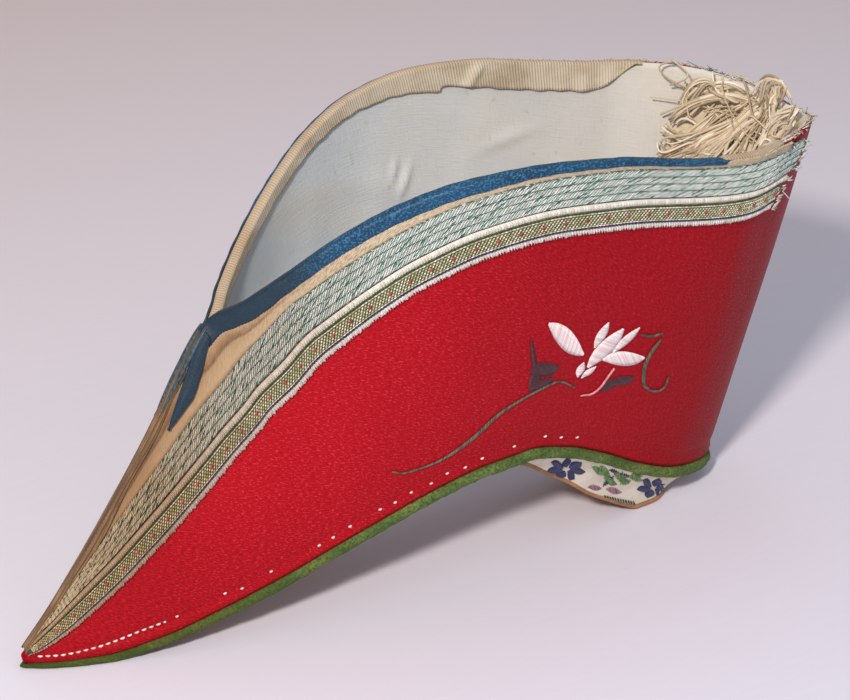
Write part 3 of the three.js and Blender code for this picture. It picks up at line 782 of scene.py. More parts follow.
def leather_finish():
    """Vegetable-tanned leather: tan with darker handling marks, a dull polish, and pores half a
    millimetre apart, coarser than real ones so that they show."""
    made = Finish("tan_leather", 0.62, specular=0.4)
    pores = made.add("TexVoronoi", made.place, 1800.0)
    blot = made.grains(made.place, (0.012, 0.008, 0.008), 0.0, 4.0, 0.6)
    tint = made.add("ValToRGB", blot, stops=[(0.3, "#7a4f2f"), (0.55, "#b08256"), (0.8, "#c79c6f")])
    dark = made.add("Math", pores, 0.25, operation="MULTIPLY")
    relief = made.add("Math", made.add("Math", pores, 0.5, operation="MULTIPLY"), blot, operation="ADD")
    return made.done(made.add("Mix", dark, tint, "#5b3820", data_type="RGBA"), relief, 0.08, 0.5)


def heel_cloth_finish():
    """Cream cotton over the heel: plain weave, thread spacing about 0.3 mm, a little grey in
    random patches."""
    made = Finish("cream_heel_cloth", 0.88, sheen=0.08)
    warp = made.grains(made.place, (0.0003, 0.003, 0.003), 0.0, 1.0)
    weft = made.grains(made.place, (0.003, 0.003, 0.0003), 0.0, 1.0)
    weave = made.add("Math", warp, weft, operation="ADD")
    blots = made.grains(made.place, (0.005, 0.005, 0.004))
    stain = made.add("ValToRGB", blots, stops=[(0.4, 0.0), (0.75, 1.0)])
    ground = made.add("Mix", stain, "#d6ccba", "#a99c88", data_type="RGBA")
    light = made.add("Math", weave, 0.25, operation="MULTIPLY")
    return made.done(made.add("Mix", light, ground, "#efe8da", data_type="RGBA"), weave, 0.1, 0.6)


def fray_finish():
    """Worn brown cotton over the toe ridge: its surface rubbed into fibres that run along
    it, and painted shade in dark stripes where the piece's shade attribute is low."""
    made = Finish("worn_ridge_cloth", 0.85, sheen=0.05)
    fibre = made.grains(made.cloth, (6.0, 0.35), 0.05, 4.0, 0.7)
    blots = made.grains(made.place, (0.007, 0.007, 0.007))
    light = made.add("ValToRGB", blots, stops=[(0.35, 0.0), (0.65, 1.0)])
    ground = made.add("Mix", light, "#7c5c3c", "#b08d60", data_type="RGBA")
    # painted shade: dark where the shade attribute is low, for the valleys of folds
    shade = made.add("Attribute", attribute_name="shade").outputs["Fac"]
    lit = made.add("ValToRGB", shade, stops=[(0.18, 0.0), (0.42, 1.0)])
    ground = made.add("Mix", lit, "#4a3220", ground, data_type="RGBA")
    raised = made.add("ValToRGB", fibre, stops=[(0.4, 0.0), (0.62, 1.0)])
    return made.done(made.add("Mix", raised, "#65492e", ground, data_type="RGBA"), fibre, 0.3, 0.8)


def fibre_finish():
    """Raw silk or ramie fibre: fine straw-coloured strands, each its own tone, that let some
    light through."""
    made = Finish("raw_fibre", 0.6, sheen=0.1)
    made.set("Subsurface Weight", 0.15)
    made.set("Subsurface Radius", (0.0006, 0.0004, 0.0002))
    shade = made.add("Attribute", attribute_name="shade").outputs["Fac"]
    tones = [(0.0, "#a08b70"), (0.45, "#ccb899"), (1.0, "#efe5d2")]
    return made.done(made.add("ValToRGB", shade, stops=tones))


# Settings and pieces


def colour_setting(name, description, code):
    """A colour for the panel, from a hex code."""
    return FloatVectorProperty(name=name, description=description, subtype="COLOR", size=4,
                               min=0, max=1, default=linear(code))


def size_setting(name, description, millimetres):
    """A length for the panel."""
    return FloatProperty(name=name, description=description, unit="LENGTH", precision=5,
                         min=0, default=millimetres * TO_METRES)


class ShoeColours(PropertyGroup):
    satin: colour_setting("Satin", "The upper's silk", "#a80c17")
    # the deep colour is also the satin's painted shade toward the heel and its darker toe
    satin_deep_and_shaded: colour_setting("Satin, deep", "The silk toward the heel", "#7e060d")
    lining: colour_setting("Lining", "The cotton inside", "#bcc4c9")
    binding: colour_setting("Binding", "The satin round the collar", "#174a6b")
    welt: colour_setting("Welt", "The velvet between upper and sole", "#506836")
    floor: colour_setting("Floor", "The surface that the shoe stands on", "#dadceb")


class ShoeSizes(PropertyGroup):
    satin: size_setting("Satin thickness", "The outer cloth with its paste", 0.55)
    lining: size_setting("Lining thickness", "The inner cloth", 0.45)
    facing: size_setting("Facing width", "The ribbed band inside the collar", 4.9)
    stitch: size_setting("Stitch width", "The thread of the seam above the welt", 0.42)
    petal: size_setting("Silk width", "The embroidery silk", 0.34)
    fibre: size_setting("Fibre width", "A strand of the tuft", 0.42)
    fibres: IntProperty(name="Fibres", description="Strands in one lock of the tuft", default=9, min=1)


def millimetres(name):
    """A length from the panel."""
    return getattr(bpy.context.scene.shoe_sizes, name) * TO_MILLIMETRES


def colours():
    """The colours from the panel."""
    return bpy.context.scene.shoe_colours


class SHOE_OT_upper(Operator):
    """Makes the satin outside, the cotton lining and the ribbed facing inside the collar"""

    bl_idname = "object.shoe_upper"
    bl_label = "Upper"

    def execute(self, context):
        # even turns all round, and between them close ones at the back seam
        near = 1 - np.cos(np.linspace(0, np.pi / 2, 150)[:90])
        turns = np.sort(np.concatenate([np.linspace(0, 2, 161), 1 - near, 1 + near[1:]]))
        rise = np.linspace(0, 1, 54)[None]
        # the lowest row comes down into the gap over the welt
        sunk = 0.9 * GAP / section_length(from_toe(turns))[:, None] * (1 - rise) ** 6
        points = round_back(turns[:, None], rise - sunk)
        satin = piece("satin_upper", points, [grid_quads(*points.shape[:2])], satin_finish(colours()),
                      ["upper"], spread(points))
        thicken(satin, millimetres("satin"))
        self.lining(turns)
        self.facing()
        return {"FINISHED"}

    def lining(self, turns):
        """The lining: the same face, further in. Its creases are two crossing waves raised to even
        powers, and its folds are long bells, so that all lie inward from the wall."""
        turns = np.sort(np.concatenate([turns, np.linspace(1.08, 1.40, 90)]))
        turns = turns[(turns > 0.085) & (turns < 1.915)]
        rise = np.linspace(-0.01, 1, 62)[None]
        turn = turns[:, None]
        crease = np.sin(31 * turn + 4 * rise) ** 6 * 0.25 + np.sin(17 * turn - 9 * rise) ** 8 * 0.3
        drop = (1 - rise) * section_length(from_toe(turn))
        for middle, low, half, high, lean in zip(*FOLDS.values()):
            along, down = (turn - middle) * SOLE_LENGTH, drop - low
            ahead = along * np.cos(lean) + down * np.sin(lean)
            aside = down * np.cos(lean) - along * np.sin(lean)
            crease = crease + high * np.exp(-((ahead / half) ** 2) - (aside / 0.55) ** 2)
        depth = millimetres("satin") + 0.05 + crease * np.sin(np.pi * np.clip(rise, 0, 1))
        points = round_back(turn, rise, -depth - millimetres("lining"))
        quads = grid_quads(*points.shape[:2], flip=True)
        lining = piece("cotton_lining", points, [quads], lining_finish(colours()),
                       ["upper"], spread(points))
        thicken(lining, millimetres("lining"))

    def facing(self):
        """The facing: a band turned over the collar's edge, straight down inside to a lower
        edge that wanders and is torn away toward the back. Fine waves rib it, waves that grow
        toward the back curl it, and the right one has a pleat, a bell across a slanting line."""
        wide = millimetres("facing")
        for name, side, end in (("left", 1, 0.895), ("right", -1, 0.893)):
            at = np.linspace(0.345, end, 560)[:, None]
            across = np.concatenate([[0, 0.1, 0.2, 0.3], np.linspace(0.36, 1, 9)])[None]
            ragged = 0.07 * np.sin(190 * at) + 0.06 * np.sin(331 * at + 1)
            reach = np.maximum(follow(FACING, "wide", at) * wide, 0.2) + ragged
            down = smooth(across, 0.28, 0.34) * np.clip((across - 0.3) / 0.7, 0, 1)
            torn = smooth(at, 0.78, 0.86) * down
            curl = 0.5 * torn * np.sin(at * 140) ** 2
            over = np.interp(across, FACING_TURN["across"], FACING_TURN["out"])
            drop = np.interp(across, FACING_TURN["across"], FACING_TURN["drop"]) + down * reach
            # on the left the binding covers the turn, so it lies lower there
            drop = drop + (0.5 * (1 - smooth(at, 0.825, 0.835)) if side > 0 else 0)
            rib = 0.02 * np.sin(at * SOLE_LENGTH * 12.5) * down
            pleat = (at - 0.742) * SOLE_LENGTH + 3.2 * (across - 0.6)
            fold = 0.55 * np.exp(-((pleat / 0.65) ** 2)) * smooth(across, 0.3, 0.5) * (side < 0)
            points = place(at, below(at, drop), over - rib - curl - fold, side)
            uv = np.stack([at * SOLE_LENGTH + 0 * across, across * wide + 0 * at], -1)
            quads = grid_quads(*points.shape[:2], flip=side > 0)
            facing = piece(f"facing_{name}", points, [quads], facing_finish(), uv=uv)
            thicken(facing, 0.2)


class SHOE_OT_sole(Operator):
    """Makes the leather sole, the insole and the cloth-covered heel block"""

    bl_idname = "object.shoe_sole"
    bl_label = "Sole and heel"

    def execute(self, context):
        self.sole()
        self.insole()
        self.block()
        return {"FINISHED"}

    def sole(self):
        """The sole: a flat oval carried along its line. The section is an ellipse of a high
        power, so its sides are round and its faces flat."""
        arch = np.linspace(0.03, 0.56, 90)
        heel = np.linspace(0.59, 1, 90)
        line = np.concatenate([
            np.stack([inside_welt(arch)[:, 0], sole_under(arch)], -1),
            np.stack([follow(HEEL_TREAD, "along", heel) * SOLE_LENGTH,
                      follow(HEEL_TREAD, "high", heel) * ARCH_RISE], -1),
        ])
        half = np.concatenate([inside_welt(arch)[:, 1], follow(HEEL_TREAD, "wide", heel) * BALL_WIDTH / 2])
        thick = np.concatenate([follow(SECTIONS, "cord", arch) * SOLE_THICKNESS, 0 * heel + SOLE_THICKNESS])
        slope = unit(np.gradient(line, axis=0))
        up = np.stack([slope[:, 1], -slope[:, 0]], -1)
        around = 40
        turn = np.linspace(0, 2 * np.pi, around, endpoint=False)[None]
        across = np.sign(np.cos(turn)) * np.abs(np.cos(turn)) ** 0.12
        rise = 0.5 + 0.5 * np.sign(np.sin(turn)) * np.abs(np.sin(turn)) ** 0.5
        middle = line[:, None] + up[:, None] * (rise * thick[:, None])[..., None]
        y = across * half[:, None] * np.ones_like(rise)
        points = np.stack([middle[..., 0], y, middle[..., 1]], -1)
        quads = grid_quads(len(line), around, wrap=True, flip=True)
        toe_end = np.arange(around)[None]
        heel_end = toe_end[:, ::-1] + around * (len(line) - 1)
        sole = piece("leather_sole", points, [quads, toe_end, heel_end], leather_finish(),
                     ["sole"])
        outward(sole)

    def insole(self):
        """The insole: straight from side to side inside the welt, crowned by a parabola."""
        at = np.linspace(0.15, 1, 120)
        edge = inside_welt(at)
        share = np.linspace(-1, 1, 25)
        crown = 0.35 * (1 - share**2)
        top = np.stack([edge[:, :1] + 0 * share, edge[:, 1:] * share,
                        edge_height(at)[:, None] - GAP - 0.35 + crown], -1)
        obj = piece("cotton_insole", top, [grid_quads(*top.shape[:2])], lining_finish(colours()),
                    ["insole"], spread(top))
        thicken(obj, 0.7)

    def block(self):
        """The heel block's cloth: from the welt's line down to the sole's line in a slightly
        hollow curve, carried round the heel."""
        turn = np.concatenate([np.linspace(0.63, 1, 90), 2 - np.linspace(1, 0.63, 90)[1:]])[:, None]
        down = np.linspace(0, 1, 24)[None]
        points = heel_side(turn, down)
        # its top and foot are closed to the shoe's middle plane, where y is nought
        to_middle = [1, 0, 1]
        top, foot = points[:, :1] * to_middle, points[:, -1:] * to_middle
        whole = np.concatenate([top, points, foot], 1)
        block = piece("heel_cloth", whole, [grid_quads(*whole.shape[:2], flip=True)], heel_cloth_finish(),
                      ["heel_block"])
        outward(block)


def outward(obj):
    """Closes what is open at a closed body's ends and turns its faces outward."""
    work = bmesh.new()
    work.from_mesh(obj.data)
    edges = [edge for edge in work.edges if edge.is_boundary]
    if edges:
        bmesh.ops.holes_fill(work, edges=edges, sides=0)
    bmesh.ops.recalc_face_normals(work, faces=work.faces)
    work.to_mesh(obj.data)
    work.free()


def heel_side(turn, down):
    """The heel cloth's surface: turn goes round the heel as on the upper, and down runs from
    the welt to the sole's upper face, a straight line bowed in by a parabola."""
    turn, down = np.broadcast_arrays(np.asarray(turn, float), np.asarray(down, float))
    at = from_toe(turn)
    rim = inset_edge(at, 0.35 + 0 * at)
    high = np.concatenate([rim, (sole_under(at) + WELT_LIFT + 0.25)[..., None]], -1)
    low = np.stack([
        follow(HEEL_TREAD, "along", at) * SOLE_LENGTH + 0.3,
        follow(HEEL_TREAD, "wide", at) * BALL_WIDTH / 2,
        follow(HEEL_TREAD, "high", at) * ARCH_RISE + SOLE_THICKNESS + 0.05,
    ], -1)
    point = high * (1 - down[..., None]) + low * down[..., None]
    point[..., 1] -= 0.5 * 4 * down * (1 - down) * (point[..., 1] > 1)
    point[..., 1] *= side_of(turn)
    return point


class SHOE_OT_welt(Operator):
    """Makes the velvet welt between the upper and the sole"""

    bl_idname = "object.shoe_welt"
    bl_label = "Welt"

    def execute(self, context):
        """The welt: a round cord carried round the sole's outline, its radius varied by small
        waves as gathered velvet is."""
        turn = np.concatenate([np.linspace(0, 1, 420), 2 - np.linspace(1, 0, 420)[1:-1]])[:, None]
        at = from_toe(turn)
        angle = np.linspace(0, 2 * np.pi, 14, endpoint=False)[None]
        radius = cord_radius(at)
        lumps = 1 + 0.035 * np.sin(170 * turn + 2 * angle)
        lumps = lumps + 0.03 * np.sin(411 * turn - angle)
        reach = radius * lumps
        edge = inset_edge(at + 0 * angle, radius - WELT_OVERHANG - reach * np.cos(angle))
        high = sole_under(at) + WELT_LIFT + radius + reach * 1.06 * np.sin(angle)
        points = np.stack([edge[..., 0], edge[..., 1] * side_of(turn), high], -1)
        points = np.concatenate([points, points[:1]])
        welt = piece("velvet_welt", points, [grid_quads(*points.shape[:2], wrap=True)],
                     velvet_finish(colours()), ["welt"])
        outward(welt)
        return {"FINISHED"}


def dashes(band, across, pitch, along, over, lift, side, phase=0.0):
    """The two ends of a row of slanting dashes on a band: across is the row's place, along and
    over the dash's reach in millimetres and in shares of the width. The row keeps a millimetre
    clear of the band's ends."""
    run = np.arange(1.0 + phase * pitch, band.length - 1.0, pitch)
    first = band.point(run - along / 2, across - over / 2, lift, side)
    return first, band.point(run + along / 2, across + over / 2, lift, side)


class SHOE_OT_ribbons(Operator):
    """Makes the beige tape and both woven ribbons, with their raised threads"""

    bl_idname = "object.shoe_ribbons"
    bl_label = "Tape and ribbons"

    def execute(self, context):
        wide = Band((0.022, 0.931), tape_end, wide_end, 2.4)
        narrow = Band((0.008, 0.913), narrow_start, narrow_end, 3.8)
        tape = Band((0.04, 0.905), tape_start, lambda at: tape_end(at) + 0.15, 1.0)
        self.tape(tape)
        self.wide(wide)
        self.narrow(narrow)
        self.frays(wide, narrow)
        self.rim_frays()
        return {"FINISHED"}

    def rim_frays(self):
        """Thread ends along the collar's bare edge at the back: each starts on the edge and
        ends a short random step along it, over it and up. A few are teal or dark."""
        rng = np.random.default_rng(57)
        for name, light, deep, many, first, last, reach in (
            ("rim_frays_beige", "#cdb894", "#8f7654", 190, 0.86, 1.26, 0.9),
            ("rim_frays_pale", "#e6e4d6", "#b5b09c", 110, 0.86, 1.06, 1.3),
            ("rim_frays_rust", "#a86a52", "#6e3c2c", 90, 1.03, 1.26, 0.6),
            ("rim_frays_teal", "#5b948b", "#2f655e", 9, 1.045, 1.07, 1.9),
            ("rim_frays_dark", "#4a5560", "#20272e", 5, 0.975, 0.995, 2.2),
        ):
            turn = rng.uniform(first, last, many)
            step = reach * rng.uniform(0.4, 1.0, (3, many)) * rng.choice([-1, 1], (3, many))
            onward = turn + step[0] / SOLE_LENGTH
            start = round_back(turn, below(from_toe(turn), 0.25), -0.3 - 0.8 * rng.random(many))
            drop = 0.3 * step[1] - 0.25
            end = round_back(onward, below(from_toe(onward), drop), -0.3 + 0.6 * step[2])
            threads(name, start, end, out_from(start), 0.17, 0.2, thread_finish(name, light, deep),
                    steps=4, ring=4, seed=58)

    def frays(self, wide, narrow):
        """Loose thread ends where the ribbons are cut at the back: each a short thread from the
        ribbon's end on backward, bent by a random share of its length."""
        rng = np.random.default_rng(31)
        pale = thread_finish("frayed_pale_thread", "#e4e6da", "#a9ab98")
        first, last, out = [], [], []
        for band, many in ((wide, 46), (narrow, 34)):
            across = np.sort(rng.random(many))
            run = np.full(many, band.length - 0.4)
            start = band.point(run, across, GAP + 0.55)
            back = start - band.point(run - 1.0, across, GAP + 0.5)
            up = band.point(run, across - 0.1, GAP + 0.55) - start
            reach = rng.uniform(0.4, 1.5, (many, 1))
            first.append(start)
            last.append(start + reach * (unit(back) + 0.7 * rng.normal(size=(many, 1)) * unit(up))
                        + 0.35 * rng.random((many, 1)) * out_from(start))
            out.append(out_from(start))
        first, last, out = (np.concatenate(part) for part in (first, last, out))
        for label, flip in (("left", 1), ("right", -1)):
            side = np.array([1, flip, 1])
            threads(f"ribbon_frays_{label}", first * side, last * side, out * side, 0.16, 0.25, pale,
                    steps=4, ring=4, seed=32)

    def strip(self, name, band, columns, rows, lift, thickness, material, slot, nodes):
        """A ribbon on each side: the band's grid, lifted, with its pattern in millimetres."""
        run = np.linspace(0, band.length, columns)[:, None]
        for label, side in (("left", 1), ("right", -1)):
            across = np.linspace(0, 1, rows)[None] + 0 * run
            across, high = lift(run, across)
            points = band.point(run, across, high, side)
            uv = np.stack([run + 0 * across, across * ACROSS], -1)
            quads = grid_quads(*points.shape[:2], flip=side > 0)
            obj = piece(f"{name}_{label}", points, [quads], material,
                        [f"{node}_{label}" for node in nodes], uv)
            thicken(obj, thickness)

    def tape(self, band):
        """The tape: a strip from the collar's edge to the wide ribbon, with slanting ribs."""

        def ribs(run, across):
            """Slanting ribs, a sine along the tape, that are flatter under the ribbon."""
            ragged = smooth(run, band.length - 6, band.length) * across
            rib = 0.07 * np.sin(2 * np.pi * (run + 1.2 * across) / 0.62) * (1 - across**3)
            return across, GAP + 0.22 + rib + 0.3 * ragged - 0.12 * across**3

        self.strip("cotton_tape", band, 760, 7, ribs, 0.25, tape_finish(), "tape_cotton", ["edge_tape"])

    def wide(self, band):
        """The wide ribbon: its ground, and over it twelve rows of slanting stitches in three
        colours, in four groups of three rows."""

        def swells(run, across):
            """Three low swells across the ribbon, and waves along its two edges."""
            edge = 0.12 * np.sin(run * 2.9) * (np.abs(across - 0.5) > 0.45)
            swell = 0.10 * np.sin(np.pi * across * 3) ** 2
            return across, GAP + 0.28 + swell + edge * 0.3

        self.strip("wide_ribbon_ground", band, 360, 15, swells, 0.3, wide_ground_finish(),
                   "wide_ribbon_silk", ["wide_ribbon"])
        pale = thread_finish("pale_silk_thread", "#f4f5ef", "#c9d0c6", aged="#c8aa84")
        green = thread_finish("sea_green_thread", "#c0d6cc", "#86aa9c", aged="#d08850")
        teal = thread_finish("teal_thread", "#4a857c", "#285a53", aged="#b8744a")
        rng = np.random.default_rng(12)
        for label, side in (("left", 1), ("right", -1)):
            first, last = [], []
            for row in range(12):
                across = 0.055 + 0.24 * (row // 3) + 0.066 * (row % 3)
                pair = dashes(band, across, 0.53, 0.82, -0.085, GAP + 0.46, side, 0.41 * row)
                first.append(pair[0])
                last.append(pair[1])
            number = np.concatenate([np.full(len(part), row) for row, part in enumerate(first)])
            step = np.concatenate([np.arange(len(part)) for part in first])
            # one number for each stitch that picks its colour: an even sequence, a random part,
            # and two crossing waves, where leaf shapes would be
            leaf = np.sin(step * 0.42 + number * 0.9) * np.sin(step * 0.23 - number * 1.3 + 1)
            draw = (0.618 * step + 0.271 * number) % 1 * 0.75 + 0.25 * rng.random(len(step)) + 0.08 * leaf
            first, last = np.concatenate(first), np.concatenate(last)
            for name, finish, chosen, seed in (
                ("pale", pale, draw < 0.60, 3),
                ("green", green, (draw >= 0.60) & (draw < 0.85), 4),
                ("teal", teal, draw >= 0.85, 5),
            ):
                threads(f"wide_ribbon_{name}_{label}", first[chosen], last[chosen],
                        out_from(first[chosen]), 0.175, 0.10, finish, steps=3,
                        ring=4, seed=seed)

    def narrow(self, band):
        """The narrow ribbon: its ground, and over it a row of stitches for each line of its weave."""

        def scallops(run, across):
            """The lower edge in shallow uneven scallops, which also lie a little lower."""
            bite = 0.06 * np.abs(np.sin(np.pi * run / 2.4 + 0.5 * np.sin(run)))
            bite = bite + 0.07 * np.abs(np.sin(run * 3.9))
            tail = smooth(across, 0.8, 1.0)
            cord = 0.22 * np.exp(-(((across - 0.09) / 0.075) ** 2))
            end = smooth(run, band.length - 5, band.length) * 0.08 * np.sin(across * 19)
            return across - tail * bite, GAP + 0.26 + cord - 0.08 * tail + end

        self.strip("narrow_ribbon_ground", band, 540, 19, scallops, 0.28, narrow_ground_finish(),
                   "narrow_ribbon_silk", ["narrow_ribbon"])
        finishes = {
            "cream": thread_finish("cream_silk_thread", "#f4f0e6", "#c9c2b2", aged="#b8946c"),
            "gold": thread_finish("gold_green_thread", "#f2eed9", "#a7a878", aged="#d6c09a"),
            "leaf": thread_finish("leaf_green_thread", "#6a7b4a", "#333f24", aged="#b8946c"),
            "red": thread_finish("red_silk_thread", "#b8474a", "#86262c"),
            "violet": thread_finish("violet_silk_thread", "#4d3670", "#241436"),
        }
        # thread, place across, pitch, reach along, reach across, width, height, phase
        rows = [
            ("cream", 0.090, 0.46, 0.10, 0.150, 0.34, 0.16, 0.0),
            ("leaf", 0.205, 0.60, 0.62, 0.000, 0.24, 0.06, 0.0),
            ("gold", 0.290, 0.60, 0.56, 0.000, 0.26, 0.08, 0.0),
            ("gold", 0.365, 0.60, 0.30, -0.045, 0.27, 0.10, 0.5),
            ("gold", 0.430, 0.60, 0.30, -0.045, 0.27, 0.12, 0.0),
            ("gold", 0.495, 0.60, 0.30, -0.045, 0.27, 0.12, 0.5),
            ("gold", 0.560, 0.60, 0.30, -0.045, 0.27, 0.12, 0.0),
            ("gold", 0.625, 0.60, 0.30, -0.045, 0.27, 0.10, 0.5),
            ("gold", 0.685, 0.60, 0.56, 0.000, 0.24, 0.08, 0.2),
            ("red", 0.470, 3.60, 0.75, -0.085, 0.46, 0.24, 0.4),
            ("violet", 0.740, 0.55, 0.50, 0.000, 0.34, 0.08, 0.0),
            ("cream", 0.850, 0.46, 0.04, 0.150, 0.26, 0.06, 0.2),
        ]
        for label, side in (("left", 1), ("right", -1)):
            for number, (thread, across, pitch, along, over, width, height, phase) in enumerate(rows):
                # the first row goes over the cord at the upper edge
                lift = GAP + (0.44 if number == 0 else 0.34)
                first, last = dashes(band, across, pitch, along, over, lift, side, phase)
                threads(f"narrow_ribbon_row{number}_{thread}_{label}", first, last, out_from(first),
                        width, height, finishes[thread], steps=3, ring=4,
                        seed=10 + number)


class SHOE_OT_binding(Operator):
    """Makes the satin binding over the collar's edge, its tails and the worn ridge cloth"""

    bl_idname = "object.shoe_binding"
    bl_label = "Binding"

    def execute(self, context):
        navy = navy_finish(colours())
        self.binding(navy, "left", 1, 0.838)
        self.binding(navy, "right", -1, 0.80)
        self.tails()
        self.ridge()
        return {"FINISHED"}

    def binding(self, finish, label, side, end):
        """The binding: a flat rounded profile from its lower edge outside up to the collar's
        edge, turned over it on the left, carried along the collar. It thins at its worn end."""
        at = np.linspace(0.332, end, 260)[:, None]
        share = np.linspace(0, 1 if side > 0 else 0.76, 17)[None]
        drop = follow(BINDING_PROFILE, "drop", share) * binding_end(at)
        taper = 1 - 0.6 * smooth(at, end - 0.012, end)
        offset = (follow(BINDING_PROFILE, "offset", share) + 0.05 * np.sin(at * 260 + share * 5)) * taper
        points = place(at, below(at, drop), offset, side)
        obj = piece(f"navy_binding_{label}", points, [grid_quads(*points.shape[:2], flip=side < 0)], finish,
                    ["collar_binding"])
        thicken(obj, 0.28)

    def tails(self):
        """The binding's loose ends: leaves of cloth that lie on the vamp, pointed by a power of the
        share along them, and a small slate strip at the throat."""
        finish = navy_finish(colours(), "dark_binding_tail", 0.0)
        slate = thread_finish("slate_silk", "#4a5f68", "#1e2b33")
        for label, side in (("left", 1), ("right", -1)):
            t = np.linspace(0, 1, 60)[:, None]
            at = 0.338 - 0.086 * t
            width = 2.7 * np.minimum(1, 2.2 * (1 - t)) ** 0.8 * (0.55 + 0.45 * smooth(t, 0.0, 0.3))
            middle = 1.3 + 1.35 * smooth(t, 0.05, 0.6)
            across = np.linspace(-0.5, 0.5, 11)[None]
            lift = 1.12 + 0.12 * np.cos(across * 6) + 0.25 * t * t
            points = place(at + 0 * across, below(at, middle + across * width), lift, side)
            obj = piece(f"binding_tail_cloth_{label}", points, [grid_quads(*points.shape[:2], flip=side < 0)],
                        finish, [f"binding_tail_{label}"])
            thicken(obj, 0.3)
        t = np.linspace(0, 1, 40)
        at = 0.34 - 0.085 * t
        left = place(at, below(at, 0.35), 0.75)
        both = np.stack([left, mirror(left)])
        radii = np.tile(0.55 * np.sin(np.pi * np.clip(0.12 + 0.85 * t, 0, 1)) ** 0.6, (2, 1))
        points, quads, caps = tubes(both, radii, np.array([0.5, 0, 1.0]), 8, 0.6)
        piece("throat_strip", points, [quads, caps], slate,
              shade=np.random.default_rng(5).random(points.shape[0] * points.shape[1]))

    def ridge(self):
        """The ridge cloth: a narrow strip folded over the ridge from the toe to the throat, a
        little over a millimetre down each side, rubbed into low folds by two crossing waves, with
        painted shade in dark stripes across it."""
        at = np.linspace(0.006, 0.335, 150)[:, None]
        share = np.linspace(1, 0, 11)[None]
        fold = 0.12 * np.sin(9 * share + 30 * at) + 0.10 * np.sin(21 * share - 47 * at)
        reach = np.minimum(tape_end(at) + 0.35, 1.15 + 0.2 * np.sin(60 * at))
        drop = np.minimum(share * reach, section_length(at) * 0.5)
        left = place(at, below(at, drop), 0.45 + 0.36 * smooth(share, 0, 0.4) + 0.6 * fold * share)
        right = mirror(left)[:, ::-1]
        points = np.concatenate([left, right], 1)
        # painted shade for the valleys of the folds, as stripes across the strip, passed on as its shade
        dark = 0.5 + 0.5 * np.sin(12 * share + 4 * np.sin(11 * at))
        obj = piece("ridge_cloth", points, [grid_quads(*points.shape[:2])], fray_finish(),
                    uv=spread(points), shade=np.concatenate([dark, dark[:, ::-1]], 1))
        thicken(obj, 0.3)


LEAF_COLUMNS = "base_x base_y tip_x tip_y half count"

# The embroidery as it shows in the photograph: each petal from its base to its tip in pixels,
# with half its width, and how many stitches fill it
PETALS = table(
    LEAF_COLUMNS,
    [
        [583, 354, 548, 323, 9.5, 34],
        [594, 347, 608, 322, 4.2, 20],
        [587, 367, 623, 328, 7.0, 40],
        [612, 352, 639, 327, 3.6, 26],
        [602, 359, 644, 357, 7.2, 34],
        [577, 376, 583, 362, 3.6, 12],
        [581, 377, 595, 366, 2.6, 12],
    ],
)
SHADED_LEAVES = table(
    LEAF_COLUMNS,
    [
        [536, 380, 531, 338, 2.4, 26],
        [530, 372, 558, 366, 7.4, 22],
        [531, 392, 538, 368, 5.0, 20],
        [532, 389, 552, 378, 4.2, 16],
        [602, 391, 614, 379, 5.0, 18],
        [610, 384, 634, 377, 4.6, 22],
    ],
)
# Its lines, in pixels with their widths
STEM = table("x y wide", [
    [392, 471, 0.9], [400, 473, 1.1], [420, 468, 1.4], [440, 460, 2.2], [470, 440, 3.8],
    [500, 413, 3.0], [520, 400, 2.2], [540, 389, 1.8], [560, 381, 1.5], [574, 387, 1.1],
])
HOOK = table("x y wide", [
    [661, 339, 2.2], [651, 352, 3.4], [644, 368, 4.0], [643, 382, 3.6], [648, 389, 2.4],
    [656, 391, 1.4], [664, 387, 1.2], [668, 377, 1.0],
])
HOOK_DASH = table("x y wide", [[641, 334, 2.6], [650, 336, 2.2], [662, 333, 1.2]])
PINK_STEM = table("x y wide", [
    [580, 395, 1.5], [590, 394, 1.8], [600, 387, 2.0], [608, 376, 2.0], [614, 368, 1.6],
])


def petal_stitches(leaves):
    """The ends of slanting satin stitches that fill leaf shapes: each crosses the leaf's
    axis at a slant, and reaches as far as the leaf's half width there, a sine of the share
    along it."""
    starts, stops = [], []
    for base_x, base_y, tip_x, tip_y, half, count in zip(*leaves.values()):
        base, tip = np.array([base_x, base_y]), np.array([tip_x, tip_y])
        axis = tip - base
        side = np.array([-axis[1], axis[0]]) / np.hypot(*axis)
        share = np.linspace(0.02, 0.98, int(count))
        reach = half * np.sin(np.pi * np.clip(share, 0.03, 0.97)) ** 0.75
        lean = 0.55 * reach[:, None] * axis / np.hypot(*axis)
        middle = base + share[:, None] * axis
        starts.append(middle - reach[:, None] * side - lean * 0.8)
        stops.append(middle + reach[:, None] * side + lean * 0.8)
    return np.concatenate(starts), np.concatenate(stops)


def line_stitches(line, pitch=2.0, overlap=2.6):
    """The ends of stem stitches along a curve: one every pitch in pixels, each longer than the
    pitch by the overlap, from one side of the line to the other."""
    xy = np.stack([line["x"], line["y"]], -1)
    run = np.concatenate([[0], np.cumsum(np.hypot(*np.diff(xy, axis=0).T))])
    curve = {"at": run, **line}
    at = np.arange(0, run[-1], pitch)
    reach = np.minimum(at + pitch * overlap, run[-1])
    wide = follow(curve, "wide", at) * 0.42
    first = np.stack([follow(curve, "x", at), follow(curve, "y", at)], -1)
    last = np.stack([follow(curve, "x", reach), follow(curve, "y", reach)], -1)
    side = unit(np.stack([-(last - first)[:, 1], (last - first)[:, 0]], -1))
    return first + side * wide[:, None], last - side * wide[:, None]


def sewn(name, ends, width, height, finish, slot, surface, first, second, lift, seed):
    """Stitches given by pixels of the photograph, laid on a surface and mirrored."""
    starts, stops = (surface(*under_pixels(pixels, surface, first, second), lift) for pixels in ends)
    up = out_from(starts)
    starts, stops, up = (np.concatenate([part, mirror(part)]) for part in (starts, stops, up))
    threads(name, starts, stops, up, width, height, finish, steps=5, seed=seed)


